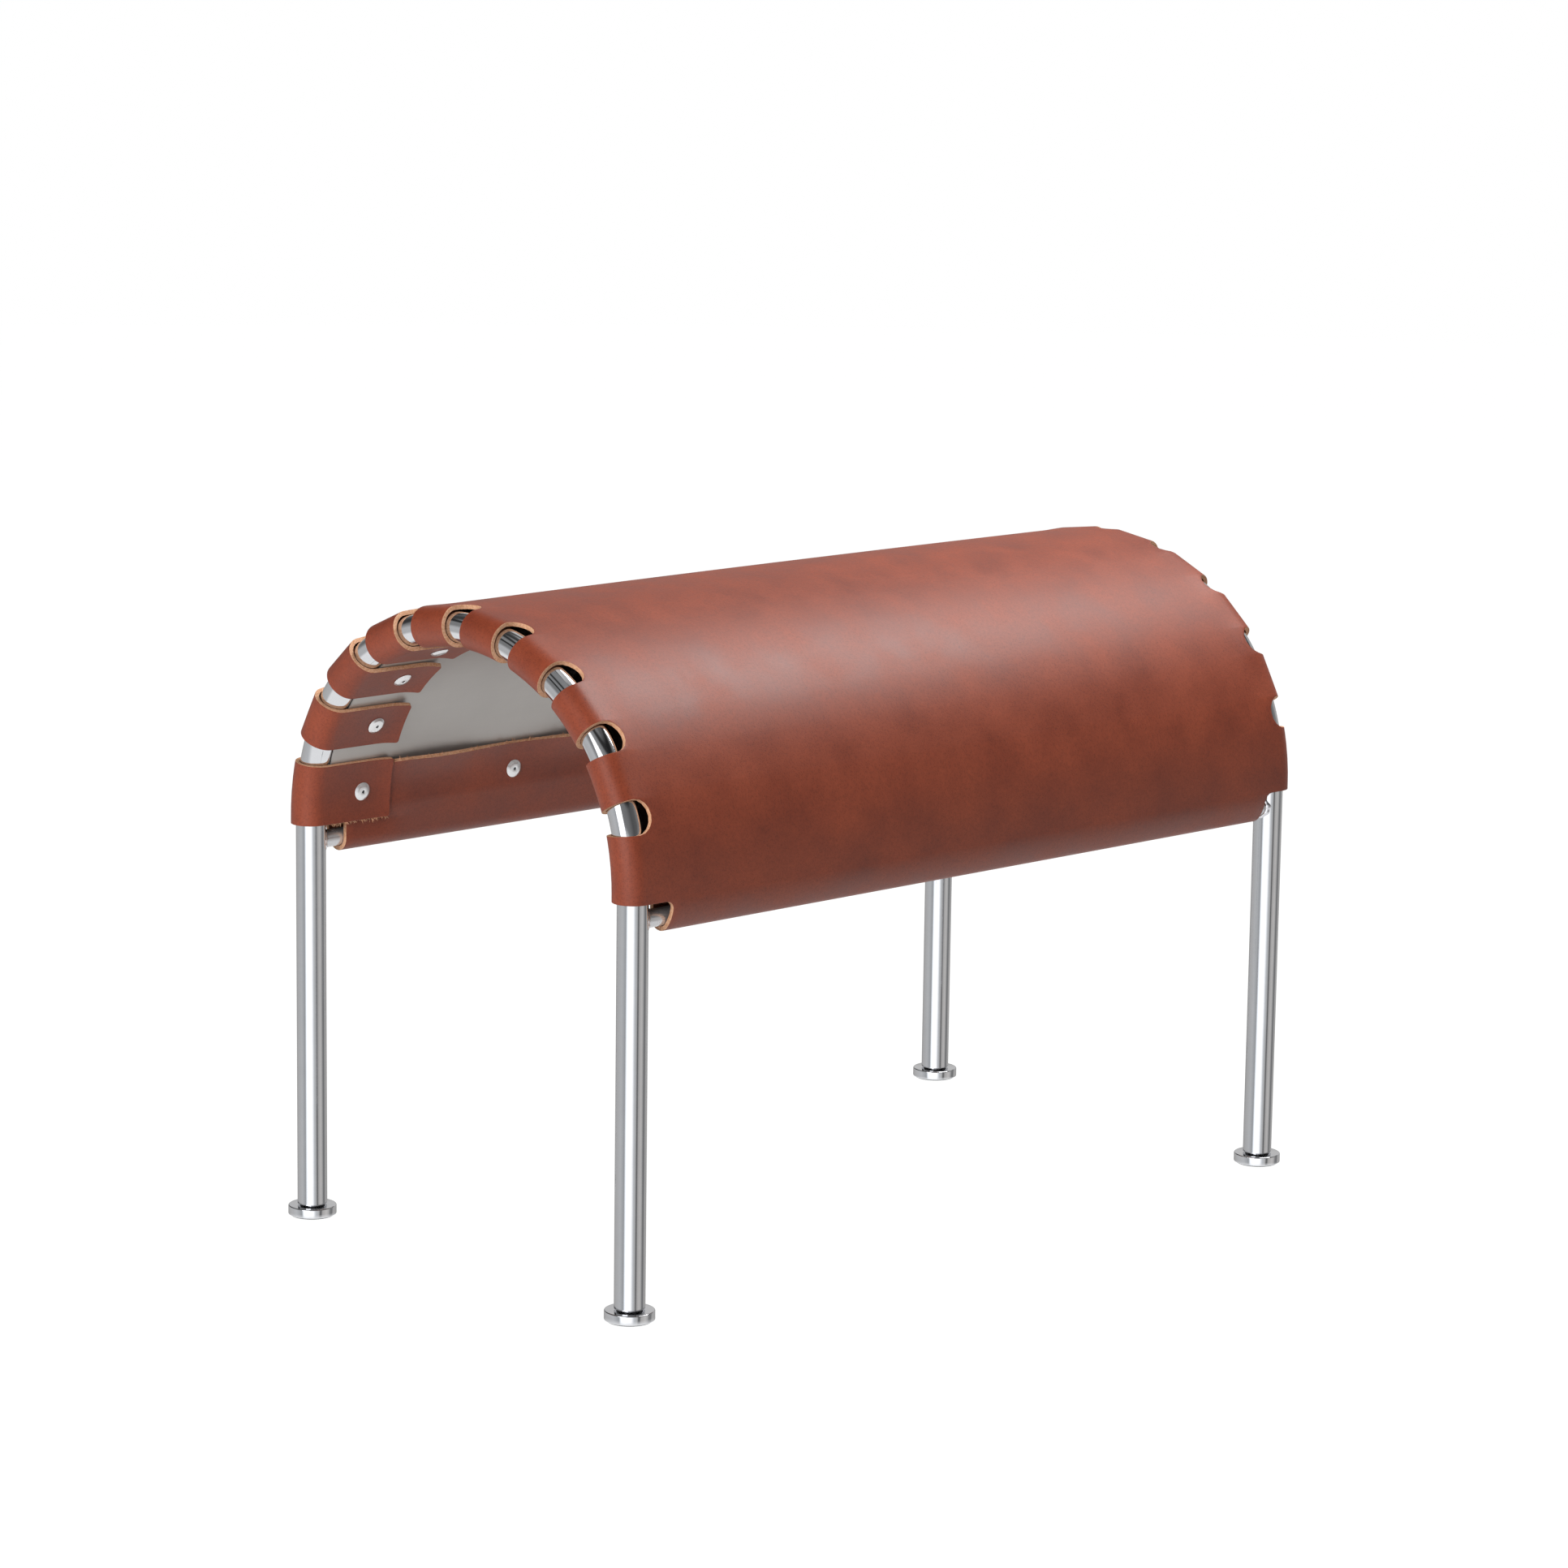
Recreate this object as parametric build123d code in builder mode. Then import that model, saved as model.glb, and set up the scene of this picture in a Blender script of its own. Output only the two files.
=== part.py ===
"""Footstool: two bent tube hoops joined by two rails, a saddle-leather cover hooked over both
hoops by riveted straps, a bent metal liner inside it, and four levelling feet.

The tunnel under the seat runs along X, the legs stand apart along Y, and Z points up from the
floor. The near end is at -X, the left side at +Y.
"""
import os
from math import acos, asin, atan2, cos, degrees, hypot, radians, sin, sqrt, tan

from build123d import *

# Frame sizes, with the angle that each shoulder of a hoop turns through
hoop_spacing = 592.0
leg_spacing = 324.0
springing_height = 274.0
shoulder_radius = 141.0
shoulder_angle = 57.42
tube_diameter = 20.0
tube_wall = 1.5
tube_foot_height = 8.2

# Rails between the legs, as a drop below the springing, and their welds
rail_diameter = 12.0
rail_wall = 1.2
rail_drop = 16.7
weld_root_gap = 0.05
weld_leg = 2.2

# Leather cover: its straps, and its edges as rises and drops from the springing
leather_thickness = 3.0
leather_clearance = 0.3
slot_count = 9
strap_width = 31.5
strap_length = 54.5
end_strap_width = 42.5
end_strap_drop = 4.5
strap_corner_radius = 2.0
slot_centre_overhang = 1.5
wrap_inset = 22.5
wrap_corner_radius = 6.0
wrap_strip_rise = 2.0
flap_end_gap = 1.0
flap_bend_rise = 3.0

# Metal liner
liner_thickness = 1.2
liner_foot_rise = 4.0
liner_end_gap = 0.4

# Blind rivets with broad heads
rivet_inset = 32.0
rivet_head_diameter = 12.4
rivet_head_height = 1.7
rivet_rim_height = 0.5
rivet_dome_diameter = 7.6
rivet_shank_diameter = 4.0
rivet_hole_diameter = 4.2
rivet_bulb_diameter = 6.2
rivet_bulb_length = 3.0
rivet_bore_diameter = 2.2
rivet_seat_gap = 0.05
pin_diameter = 2.1
pin_recess = 0.8
flap_rivet_count = 3

# Levelling feet
foot_diameter = 32.5
foot_thickness = 6.3
foot_edge_radius = 0.8
foot_hub_diameter = 12.0
glide_diameter = 30.0
glide_thickness = 1.4
glide_proud = 0.7
stud_diameter = 8.0
stud_length = 23.0
stud_sink = 4.0
insert_length = 20.0
running_gap = 0.05
seat_gap = 0.02

# One overrun for every cut
overrun = 5.0

# Sizes that follow from the ones above
tube_radius = tube_diameter / 2
rail_radius = rail_diameter / 2
half_length = hoop_spacing / 2
half_width = leg_spacing / 2
shoulder_offset = half_width - shoulder_radius
crown_drop = shoulder_offset * tan(radians(shoulder_angle))
crown_radius = shoulder_radius + shoulder_offset / cos(radians(shoulder_angle))
crown_half_angle = 90 - shoulder_angle
crown_half_arc = crown_radius * radians(crown_half_angle)
rail_height = springing_height - rail_drop
end_strap_foot_height = springing_height - end_strap_drop
wrap_strip_height = springing_height + wrap_strip_rise
liner_foot_height = springing_height + liner_foot_rise
flesh_offset = tube_radius + leather_clearance
grain_offset = flesh_offset + leather_thickness
liner_inner_offset = tube_radius
liner_outer_offset = tube_radius - liner_thickness
ends = (-1, 1)
sides = (1, -1)
end_names = {-1: "near", 1: "far"}
side_names = {1: "left", -1: "right"}


def hoop_place(arc_length: float, offset: float) -> tuple[float, float, float]:
    """Place on the hoop, by arc length of its centre line from the crown towards +Y.

    Gives Y, Z and the angle of the outward normal above +Y, at an offset out from the centre line.
    """
    side = 1 if arc_length >= 0 else -1
    run = abs(arc_length)
    shoulder_arc = shoulder_radius * radians(shoulder_angle)
    if run <= crown_half_arc:
        angle = 90 - degrees(run / crown_radius)
        y = (crown_radius + offset) * cos(radians(angle))
        z = springing_height - crown_drop + (crown_radius + offset) * sin(radians(angle))
    elif run <= crown_half_arc + shoulder_arc:
        angle = shoulder_angle - degrees((run - crown_half_arc) / shoulder_radius)
        y = shoulder_offset + (shoulder_radius + offset) * cos(radians(angle))
        z = springing_height + (shoulder_radius + offset) * sin(radians(angle))
    else:
        angle = 0
        y = half_width + offset
        z = springing_height - (run - crown_half_arc - shoulder_arc)
    return side * y, z, angle if side > 0 else 180 - angle


def arch_foot(offset: float, foot_height: float) -> tuple[float, float]:
    """Y of the arch's left foot at a height, and the angle round the shoulder where it lies."""
    rise = max(foot_height - springing_height, 0)
    angle = degrees(asin(rise / (shoulder_radius + offset)))
    return shoulder_offset + (shoulder_radius + offset) * cos(radians(angle)), angle


def arch_lines(offset: float, foot_height: float) -> None:
    """Lines and arcs of the hoop at an offset, from one foot height over the crown to the other."""
    foot_y, foot_angle = arch_foot(offset, foot_height)
    straight_foot = foot_height < springing_height
    if straight_foot:
        Line((foot_y, foot_height), (foot_y, springing_height))
    CenterArc((shoulder_offset, springing_height), shoulder_radius + offset,
              foot_angle, shoulder_angle - foot_angle)
    CenterArc((0, springing_height - crown_drop), crown_radius + offset,
              shoulder_angle, 2 * crown_half_angle)
    CenterArc((-shoulder_offset, springing_height), shoulder_radius + offset,
              180 - shoulder_angle, shoulder_angle - foot_angle)
    if straight_foot:
        Line((-foot_y, springing_height), (-foot_y, foot_height))


def arch_band(inner_offset: float, outer_offset: float, foot_height: float) -> None:
    """Closed outline of a band between two offsets of the hoop, cut level at the feet."""
    arch_lines(inner_offset, foot_height)
    arch_lines(outer_offset, foot_height)
    inner_y, _ = arch_foot(inner_offset, foot_height)
    outer_y, _ = arch_foot(outer_offset, foot_height)
    for side in sides:
        Line((side * inner_y, foot_height), (side * outer_y, foot_height))


def mid_plane(arc_length: float, x: float, offset: float) -> Plane:
    """Plane at a place on the hoop, with its normal out from the arch and its X along the stool."""
    y, z, angle = hoop_place(arc_length, offset)
    return Plane(origin=(x, y, z), x_dir=(1, 0, 0), z_dir=(0, cos(radians(angle)), sin(radians(angle))))


# The straps: a wider one at each foot of the arch, and narrow ones set out evenly between those two
shoulder_foot = crown_half_arc + shoulder_radius * radians(shoulder_angle)
end_strap_foot = shoulder_foot + end_strap_drop
end_strap_top = end_strap_foot - end_strap_width
end_strap_middle = end_strap_foot - end_strap_width / 2
strap_pitch = (2 * end_strap_top + strap_width) / slot_count
first_strap_middle = strap_pitch * (2 - slot_count) / 2
strap_table = ([(-end_strap_middle, end_strap_width / 2)]
               + [(first_strap_middle + strap_pitch * index, strap_width / 2)
                  for index in range(slot_count - 1)]
               + [(end_strap_middle, end_strap_width / 2)])
strap_middles = [middle for middle, _ in strap_table]


def strap_side(middle: float, half: float, direction: int, offset: float) -> tuple[float, float]:
    """A point on the side of a strap, which stays parallel to the strap's middle line."""
    y, z, angle = hoop_place(middle, offset)
    return (y + direction * half * sin(radians(angle)), z - direction * half * cos(radians(angle)))


def gap_outline(first: int, inner_reach: float, outer_reach: float) -> None:
    """Four-sided outline of the gap between two neighbouring straps, between two offsets."""
    low_middle, low_half = strap_table[first]
    high_middle, high_half = strap_table[first + 1]
    Polyline(strap_side(low_middle, low_half, 1, inner_reach),
             strap_side(low_middle, low_half, 1, outer_reach),
             strap_side(high_middle, high_half, -1, outer_reach),
             strap_side(high_middle, high_half, -1, inner_reach), close=True)


def gap_half_width(first: int, offset: float) -> float:
    """Half of the gap between two neighbouring straps at an offset."""
    low_middle, low_half = strap_table[first]
    high_middle, high_half = strap_table[first + 1]
    low = strap_side(low_middle, low_half, 1, offset)
    high = strap_side(high_middle, high_half, -1, offset)
    return hypot(high[0] - low[0], high[1] - low[1]) / 2


# Where the cover leaves the hoop for the rail: one bend that runs smoothly on to the rail's round
wrap_radius = rail_radius + leather_clearance
drop_to_rail = end_strap_foot_height - rail_height
bend_radius = ((flesh_offset ** 2 + drop_to_rail ** 2 - wrap_radius ** 2)
               / (2 * (flesh_offset - wrap_radius)))
bend_angle = degrees(asin(drop_to_rail / (bend_radius - wrap_radius)))
flap_top_angle = shoulder_angle - degrees((end_strap_top - crown_half_arc) / shoulder_radius)
flap_bend_angle = degrees(asin(flap_bend_rise / (shoulder_radius - flesh_offset)))


def flap_leave_angle(extra: float) -> tuple[float, float, float]:
    """Where the long flap leaves the rail's round, for the flesh side or, with extra, the grain side.

    Gives that angle, and the Y and Z of the point where the straight run meets the arch.
    """
    reach = shoulder_radius - flesh_offset - extra
    y = shoulder_offset + reach * cos(radians(flap_bend_angle))
    z = springing_height + reach * sin(radians(flap_bend_angle))
    away = hypot(y - half_width, z - rail_height)
    leave = degrees(atan2(z - rail_height, y - half_width) + acos((wrap_radius + extra) / away))
    return leave, y, z


def rail_side_lines(extra: float, last_angle: float) -> None:
    """Arcs of the cover on its way down from the hoop and round the rail, on the left side."""
    bend_middle = (half_width + flesh_offset - bend_radius, end_strap_foot_height)
    CenterArc(bend_middle, bend_radius + extra, 0, -bend_angle)
    CenterArc((half_width, rail_height), wrap_radius + extra, -bend_angle, last_angle - 360 + bend_angle)


def outer_side_cap() -> None:
    """Short edge across the leather at the foot of the hooked part, on the left side."""
    Line((half_width + flesh_offset, end_strap_foot_height), (half_width + grain_offset, end_strap_foot_height))


os.makedirs("parts", exist_ok=True)

# Hoops: one bent tube each
for end in ends:
    with BuildPart() as hoop:
        with BuildLine(Plane.YZ.offset(end * half_length)) as hoop_run:
            arch_lines(0, tube_foot_height)
        with BuildSketch(Plane.XY.offset(tube_foot_height)):
            with Locations((end * half_length, half_width)):
                Circle(tube_radius)
                Circle(tube_radius - tube_wall, mode=Mode.SUBTRACT)
        sweep(path=hoop_run.wire())
    hoop.part.label = f"hoop_{end_names[end]}"
    export_step(hoop.part, f"parts/{hoop.part.label}.step")


# Side rails, coped to the legs that they are welded to
for side in sides:
    with BuildPart() as rail:
        with BuildSketch(Plane.YZ):
            with Locations((side * half_width, rail_height)):
                Circle(rail_radius)
                Circle(rail_radius - rail_wall, mode=Mode.SUBTRACT)
        extrude(amount=half_length, both=True)
        with Locations(*[(end * half_length, side * half_width, rail_height) for end in ends]):
            Cylinder(tube_radius + weld_root_gap, rail_diameter + overrun, mode=Mode.SUBTRACT)
    rail.part.label = f"rail_{side_names[side]}"
    export_step(rail.part, f"parts/{rail.part.label}.step")

with BuildPart() as rail_welds:
    for side in sides:
        for end in ends:
            corner = (end * half_length, side * half_width, rail_height)
            with BuildPart(mode=Mode.PRIVATE) as bead:
                with BuildSketch(Plane.YZ.offset(end * half_length)):
                    with Locations((side * half_width, rail_height)):
                        Circle(rail_radius + weld_leg)
                        Circle(rail_radius, mode=Mode.SUBTRACT)
                extrude(amount=-end * (tube_radius + weld_leg))
                with Locations(corner):
                    Cylinder(tube_radius + weld_leg, rail_diameter + overrun, mode=Mode.INTERSECT)
                    Cylinder(tube_radius, rail_diameter + overrun, mode=Mode.SUBTRACT)
            add(bead.part)
rail_welds.part.label = "rail_welds"
export_step(rail_welds.part, "parts/rail_welds.step")


# Rivets: a broad domed head inside the tunnel, a shank through leather and liner, a set bulb behind
head_seat = ((rivet_head_diameter / 2) ** 2 / (2 * (shoulder_radius - grain_offset))) + rivet_seat_gap
head_top = head_seat + rivet_head_height
grip = leather_thickness + flesh_offset - liner_outer_offset + rivet_seat_gap
bulb_end = grip + rivet_bulb_length
bore_radius = rivet_bore_diameter / 2

with BuildPart() as rivet:
    with BuildSketch(Plane.XZ):
        with BuildLine():
            Polyline((bore_radius, -bulb_end), (rivet_bulb_diameter / 2, -bulb_end),
                     (rivet_bulb_diameter / 2, -grip), (rivet_shank_diameter / 2, -grip),
                     (rivet_shank_diameter / 2, head_seat), (rivet_head_diameter / 2, head_seat),
                     (rivet_head_diameter / 2, head_seat + rivet_rim_height),
                     (rivet_dome_diameter / 2, head_top), (bore_radius, head_top), close=True)
        make_face()
    revolve(axis=Axis.Z)

with BuildPart() as rivet_pin:
    with BuildSketch(Plane.XZ):
        with BuildLine():
            Polyline((0, -bulb_end), (pin_diameter / 2, -bulb_end),
                     (pin_diameter / 2, head_top - pin_recess), (0, head_top - pin_recess), close=True)
        make_face()
    revolve(axis=Axis.Z)


def rivet_plane(arc_length: float, x: float) -> Plane:
    """Seat of a rivet on the leather's inner face, with its normal into the tunnel."""
    y, z, angle = hoop_place(arc_length, -grain_offset)
    return Plane(origin=(x, y, z), x_dir=(1, 0, 0),
                 z_dir=(0, -cos(radians(angle)), -sin(radians(angle))))


flap_rivet_pitch = (hoop_spacing - 2 * rivet_inset) / (flap_rivet_count + 1)
flap_rivet_places = [rivet_inset - half_length + flap_rivet_pitch * (index + 1)
                     for index in range(flap_rivet_count)]
rivet_groups = {}
for end in ends:
    rivet_groups[f"strap_rivets_{end_names[end]}"] = [
        rivet_plane(middle, end * (half_length - rivet_inset)) for middle in strap_middles]
for side in sides:
    rivet_groups[f"flap_rivets_{side_names[side]}"] = [
        rivet_plane(side * end_strap_middle, x) for x in flap_rivet_places]
all_rivet_planes = [plane for planes in rivet_groups.values() for plane in planes]

for group_name, planes in rivet_groups.items():
    with BuildPart() as rivets:
        with Locations(*planes):
            add(rivet.part)
    rivets.part.label = group_name
    export_step(rivets.part, f"parts/{group_name}.step")
    pin_name = group_name.replace("rivets", "rivet_pins")
    with BuildPart() as rivet_pins:
        with Locations(*planes):
            add(rivet_pin.part)
    rivet_pins.part.label = pin_name
    export_step(rivet_pins.part, f"parts/{pin_name}.step")


# Liner: a thin bent sheet between the hoops, which the rivets hold to the cover
liner_reach = half_length - sqrt(tube_radius ** 2 - liner_outer_offset ** 2) - liner_end_gap
with BuildPart() as liner:
    with BuildSketch(Plane.YZ):
        with BuildLine():
            arch_band(-liner_inner_offset, -liner_outer_offset, liner_foot_height)
        make_face()
    extrude(amount=liner_reach, both=True)
    with Locations(*all_rivet_planes):
        Cylinder(rivet_hole_diameter / 2, 2 * (grip + overrun), mode=Mode.SUBTRACT)
liner.part.label = "liner"
export_step(liner.part, "parts/liner.step")


# Leather cover: one hide over both hoops, hooked round them by straps and round the rails by flaps
flap_reach = half_length - strap_length - flap_end_gap
wrap_reach = half_length - wrap_inset
cut_inner = -(grain_offset + overrun)
cut_outer = grain_offset + overrun
strap_cut_outer = -tube_radius / 2
middle_offset = (flesh_offset + grain_offset) / 2

with BuildPart() as leather_cover:
    # The seat, from the foot of one end strap over the arch to the other
    with BuildSketch(Plane.YZ):
        with BuildLine():
            arch_band(flesh_offset, grain_offset, end_strap_foot_height)
        make_face()
    extrude(amount=half_length, both=True)
    # Each hooked edge, round the outside half of the tube
    for end in ends:
        with BuildLine(Plane.YZ.offset(end * half_length)) as hook_run:
            arch_lines(0, end_strap_foot_height)
        with BuildSketch(Plane.XY.offset(end_strap_foot_height)):
            with Locations((end * half_length, half_width)):
                Circle(grain_offset)
                Circle(flesh_offset, mode=Mode.SUBTRACT)
            with Locations((end * (half_length - grain_offset), half_width)):
                Rectangle(2 * grain_offset, 2 * grain_offset, mode=Mode.SUBTRACT)
        sweep(path=hook_run.wire())
        # The straps' flat ends inside the arch
        with BuildSketch(Plane.YZ.offset(end * half_length)):
            with BuildLine():
                arch_band(-grain_offset, -flesh_offset, end_strap_foot_height)
            make_face()
        extrude(amount=-end * strap_length)
    # Gaps between the straps, with a round bottom towards the seat
    for end in ends:
        for first in range(len(strap_table) - 1):
            with BuildSketch(Plane.YZ.offset(end * (half_length + slot_centre_overhang))):
                with BuildLine():
                    gap_outline(first, cut_inner, cut_outer)
                make_face()
            extrude(amount=end * (grain_offset + overrun), mode=Mode.SUBTRACT)
            with BuildSketch(Plane.YZ.offset(end * (half_length + slot_centre_overhang))):
                with BuildLine():
                    gap_outline(first, cut_inner, strap_cut_outer)
                make_face()
            extrude(amount=-end * (strap_length + overrun), mode=Mode.SUBTRACT)
            slot_middle = (strap_table[first][0] + strap_table[first][1]
                           + strap_table[first + 1][0] - strap_table[first + 1][1]) / 2
            slot_plane = mid_plane(slot_middle, end * (half_length + slot_centre_overhang), middle_offset)
            with Locations(slot_plane):
                Cylinder(gap_half_width(first, middle_offset), leather_thickness + overrun,
                         mode=Mode.SUBTRACT)
    # Down to each rail on the outside, with a round-cornered window for the bare rail end
    with BuildSketch(Plane.YZ):
        with BuildLine():
            rail_side_lines(0, 270)
            rail_side_lines(leather_thickness, 270)
            outer_side_cap()
            Line((half_width, rail_height - wrap_radius),
                 (half_width, rail_height - wrap_radius - leather_thickness))
        make_face()
        mirror(about=Plane.YZ)
    extrude(amount=half_length, both=True)
    window_height = 2 * (end_strap_foot_height - rail_height + grain_offset + overrun)
    window_width = 2 * (wrap_inset + overrun)
    with BuildSketch(Plane.XZ):
        for end in ends:
            with Locations((end * (half_length + overrun), end_strap_foot_height - window_height / 2)):
                RectangleRounded(window_width, window_height, wrap_corner_radius)
    extrude(amount=leg_spacing, both=True, mode=Mode.SUBTRACT)
    # Up inside each rail: a low strip behind the end straps, and the long flap between them
    with BuildSketch(Plane.YZ):
        with BuildLine():
            CenterArc((half_width, rail_height), wrap_radius, 180, 90)
            CenterArc((half_width, rail_height), wrap_radius + leather_thickness, 180, 90)
            for extra in (0, leather_thickness):
                Line((half_width - wrap_radius - extra, rail_height),
                     (half_width - wrap_radius - extra, wrap_strip_height))
            Line((half_width - wrap_radius, wrap_strip_height),
                 (half_width - wrap_radius - leather_thickness, wrap_strip_height))
            Line((half_width, rail_height - wrap_radius),
                 (half_width, rail_height - wrap_radius - leather_thickness))
        make_face()
        mirror(about=Plane.YZ)
    extrude(amount=wrap_reach, both=True)
    with BuildSketch(Plane.YZ):
        with BuildLine():
            for extra in (0, leather_thickness):
                leave, meet_y, meet_z = flap_leave_angle(extra)
                CenterArc((half_width, rail_height), wrap_radius + extra, leave, 270 - leave)
                Line((half_width + (wrap_radius + extra) * cos(radians(leave)),
                      rail_height + (wrap_radius + extra) * sin(radians(leave))), (meet_y, meet_z))
                CenterArc((shoulder_offset, springing_height), shoulder_radius - flesh_offset - extra,
                          flap_bend_angle, flap_top_angle - flap_bend_angle)
            top = radians(flap_top_angle)
            flesh_reach = shoulder_radius - flesh_offset
            Line((shoulder_offset + flesh_reach * cos(top), springing_height + flesh_reach * sin(top)),
                 (shoulder_offset + (flesh_reach - leather_thickness) * cos(top),
                  springing_height + (flesh_reach - leather_thickness) * sin(top)))
            Line((half_width, rail_height - wrap_radius),
                 (half_width, rail_height - wrap_radius - leather_thickness))
        make_face()
        mirror(about=Plane.YZ)
    extrude(amount=flap_reach, both=True)
    # Rivet holes
    with Locations(*all_rivet_planes):
        Cylinder(rivet_hole_diameter / 2, 2 * (leather_thickness + liner_thickness), mode=Mode.SUBTRACT)
    # Rounded corners at the straps' ends
    strap_corners = (leather_cover.edges().filter_by(GeomType.LINE)
                     .filter_by(lambda edge: abs(abs(edge.center().X) - half_length + strap_length) < seat_gap)
                     .filter_by(lambda edge: abs(edge.length - leather_thickness) < leather_clearance))
    fillet(strap_corners, strap_corner_radius)
leather_cover.part.label = "leather_cover"
export_step(leather_cover.part, "parts/leather_cover.step")


# Levelling feet: a threaded insert in each leg, a stud, a turned disc and a glide under it
for end in ends:
    for side in sides:
        place = f"{end_names[end]}_{side_names[side]}"
        x = end * half_length
        y = side * half_width
        with BuildPart() as leg_insert:
            with BuildSketch(Plane.XY.offset(tube_foot_height)):
                with Locations((x, y)):
                    Circle(tube_radius - tube_wall - seat_gap)
                    Circle(stud_diameter / 2 + running_gap, mode=Mode.SUBTRACT)
            extrude(amount=insert_length)
        leg_insert.part.label = f"leg_insert_{place}"
        export_step(leg_insert.part, f"parts/{leg_insert.part.label}.step")

        disc_top = glide_proud + foot_thickness
        with BuildPart() as foot_disc:
            with BuildSketch(Plane.XY.offset(glide_proud)):
                with Locations((x, y)):
                    Circle(foot_diameter / 2)
            extrude(amount=foot_thickness)
            fillet(foot_disc.edges().sort_by(Axis.Z)[-1], foot_edge_radius)
            chamfer(foot_disc.edges().sort_by(Axis.Z)[0], foot_edge_radius / 2)
            with BuildSketch(Plane.XY.offset(disc_top)):
                with Locations((x, y)):
                    Circle(foot_hub_diameter / 2)
            extrude(amount=tube_foot_height - disc_top)
            with BuildSketch(Plane.XY.offset(disc_top - stud_sink)):
                with Locations((x, y)):
                    Circle(stud_diameter / 2 + seat_gap)
            extrude(amount=stud_sink + overrun, mode=Mode.SUBTRACT)
            with BuildSketch(Plane.XY.offset(glide_thickness)):
                with Locations((x, y)):
                    Circle(glide_diameter / 2 + seat_gap)
            extrude(amount=-glide_thickness, mode=Mode.SUBTRACT)
        foot_disc.part.label = f"foot_disc_{place}"
        export_step(foot_disc.part, f"parts/{foot_disc.part.label}.step")

        with BuildPart() as foot_stud:
            with BuildSketch(Plane.XY.offset(disc_top - stud_sink)):
                with Locations((x, y)):
                    Circle(stud_diameter / 2)
            extrude(amount=stud_length)
        foot_stud.part.label = f"foot_stud_{place}"
        export_step(foot_stud.part, f"parts/{foot_stud.part.label}.step")

        with BuildPart() as foot_glide:
            with BuildSketch(Plane.XY):
                with Locations((x, y)):
                    Circle(glide_diameter / 2)
            extrude(amount=glide_thickness)
        foot_glide.part.label = f"foot_glide_{place}"
        export_step(foot_glide.part, f"parts/{foot_glide.part.label}.step")
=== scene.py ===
"""Footstool in chrome tube and saddle leather, dressed for its picture.

Two bent tube hoops, joined by two rails, carry one hide that is hooked over both hoops by riveted
straps and round both rails by long flaps, with a bent steel liner inside. All sizes are in metres.
The tunnel under the seat runs along X, the legs stand apart along Y, the floor is at Z = 0, the
near end is at -X and the left side at +Y.
"""
import sys
import logging
from collections.abc import Callable, Iterable, Iterator, Sequence
from contextlib import contextmanager
from dataclasses import dataclass, field
from enum import Enum, auto
from functools import cache, cached_property
from math import acos, asin, atan2, copysign, cos, hypot, pi, radians, sin, sqrt, tan
from random import Random

import bpy
from mathutils import Matrix, Vector


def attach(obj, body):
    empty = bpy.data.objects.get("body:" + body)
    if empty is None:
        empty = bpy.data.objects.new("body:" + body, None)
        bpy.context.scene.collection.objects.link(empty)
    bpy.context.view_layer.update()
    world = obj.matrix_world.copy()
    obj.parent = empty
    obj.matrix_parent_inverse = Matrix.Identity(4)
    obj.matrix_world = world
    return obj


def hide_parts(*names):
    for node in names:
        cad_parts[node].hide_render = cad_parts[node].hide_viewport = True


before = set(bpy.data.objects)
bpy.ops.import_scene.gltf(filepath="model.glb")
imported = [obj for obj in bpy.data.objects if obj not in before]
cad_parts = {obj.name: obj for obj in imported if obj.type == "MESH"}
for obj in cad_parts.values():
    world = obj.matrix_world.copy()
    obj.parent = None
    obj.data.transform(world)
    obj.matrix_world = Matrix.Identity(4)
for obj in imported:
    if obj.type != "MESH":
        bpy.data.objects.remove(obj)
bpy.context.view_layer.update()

log = logging.getLogger("footstool")

Colour = tuple[float, float, float, float]
Profile = list[tuple[float, float]]
Socket = bpy.types.NodeSocket

DOUBLE_GAP = 0.000005
GRID_SIDE = 1.0
FINE_RATIO = 6.0


def srgb(red: int, green: int, blue: int) -> Colour:
    """Turns a colour given as 0 to 255 on screen into the linear colour that a shader takes."""
    def linear(value: int) -> float:
        """One channel in linear light."""
        share = value / 255
        return share / 12.92 if share <= 0.04045 else ((share + 0.055) / 1.055) ** 2.4

    return linear(red), linear(green), linear(blue), 1.0


def toned(colour: Colour, factor: float, lift: float = 0.0) -> Colour:
    """A colour made darker or lighter by a factor and a lift."""
    return (*(min(channel * factor + lift, 1.0) for channel in colour[:3]), 1.0)


def grey(light: float) -> Colour:
    """The grey of one level of light."""
    return light, light, light, 1.0


def smooth_step(value: float) -> float:
    """Eases 0 to 1 into 0 to 1, and holds it there outside."""
    share = min(max(value, 0.0), 1.0)
    return share * share * (3 - 2 * share)


def blend_of(low: float, high: float, share: float) -> float:
    """The value a share of the way from low to high."""
    return low + (high - low) * share


def steps(marks: Sequence[float], counts: Sequence[int]) -> list[float]:
    """Even steps from each mark to the next, by a count for each, without the first mark."""
    return [blend_of(low, high, (index + 1) / count)
            for low, high, count in zip(marks, marks[1:], counts) for index in range(count)]


def quarter_round(reach: float, height: float, edge: float, start: int, count: int) -> Profile:
    """Rounds an edge of a turned profile by a quarter turn, clockwise.

    Args:
        reach: Radius at which the round's centre lies.
        height: Height of its centre.
        edge: Radius of the round itself.
        start: Angle at which it starts, in degrees up from straight outwards.
        count: Count of its steps.

    Returns:
        Radius and height of each point.
    """
    turns = [radians(start - 90 * index / count) for index in range(count + 1)]
    return [(reach + edge * cos(turn), height + edge * sin(turn)) for turn in turns]


class Signed(Enum):
    """A direction whose value is its sign along an axis."""

    @property
    def word(self) -> str:
        """Its name in a piece's name."""
        return self.name.lower()


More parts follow.
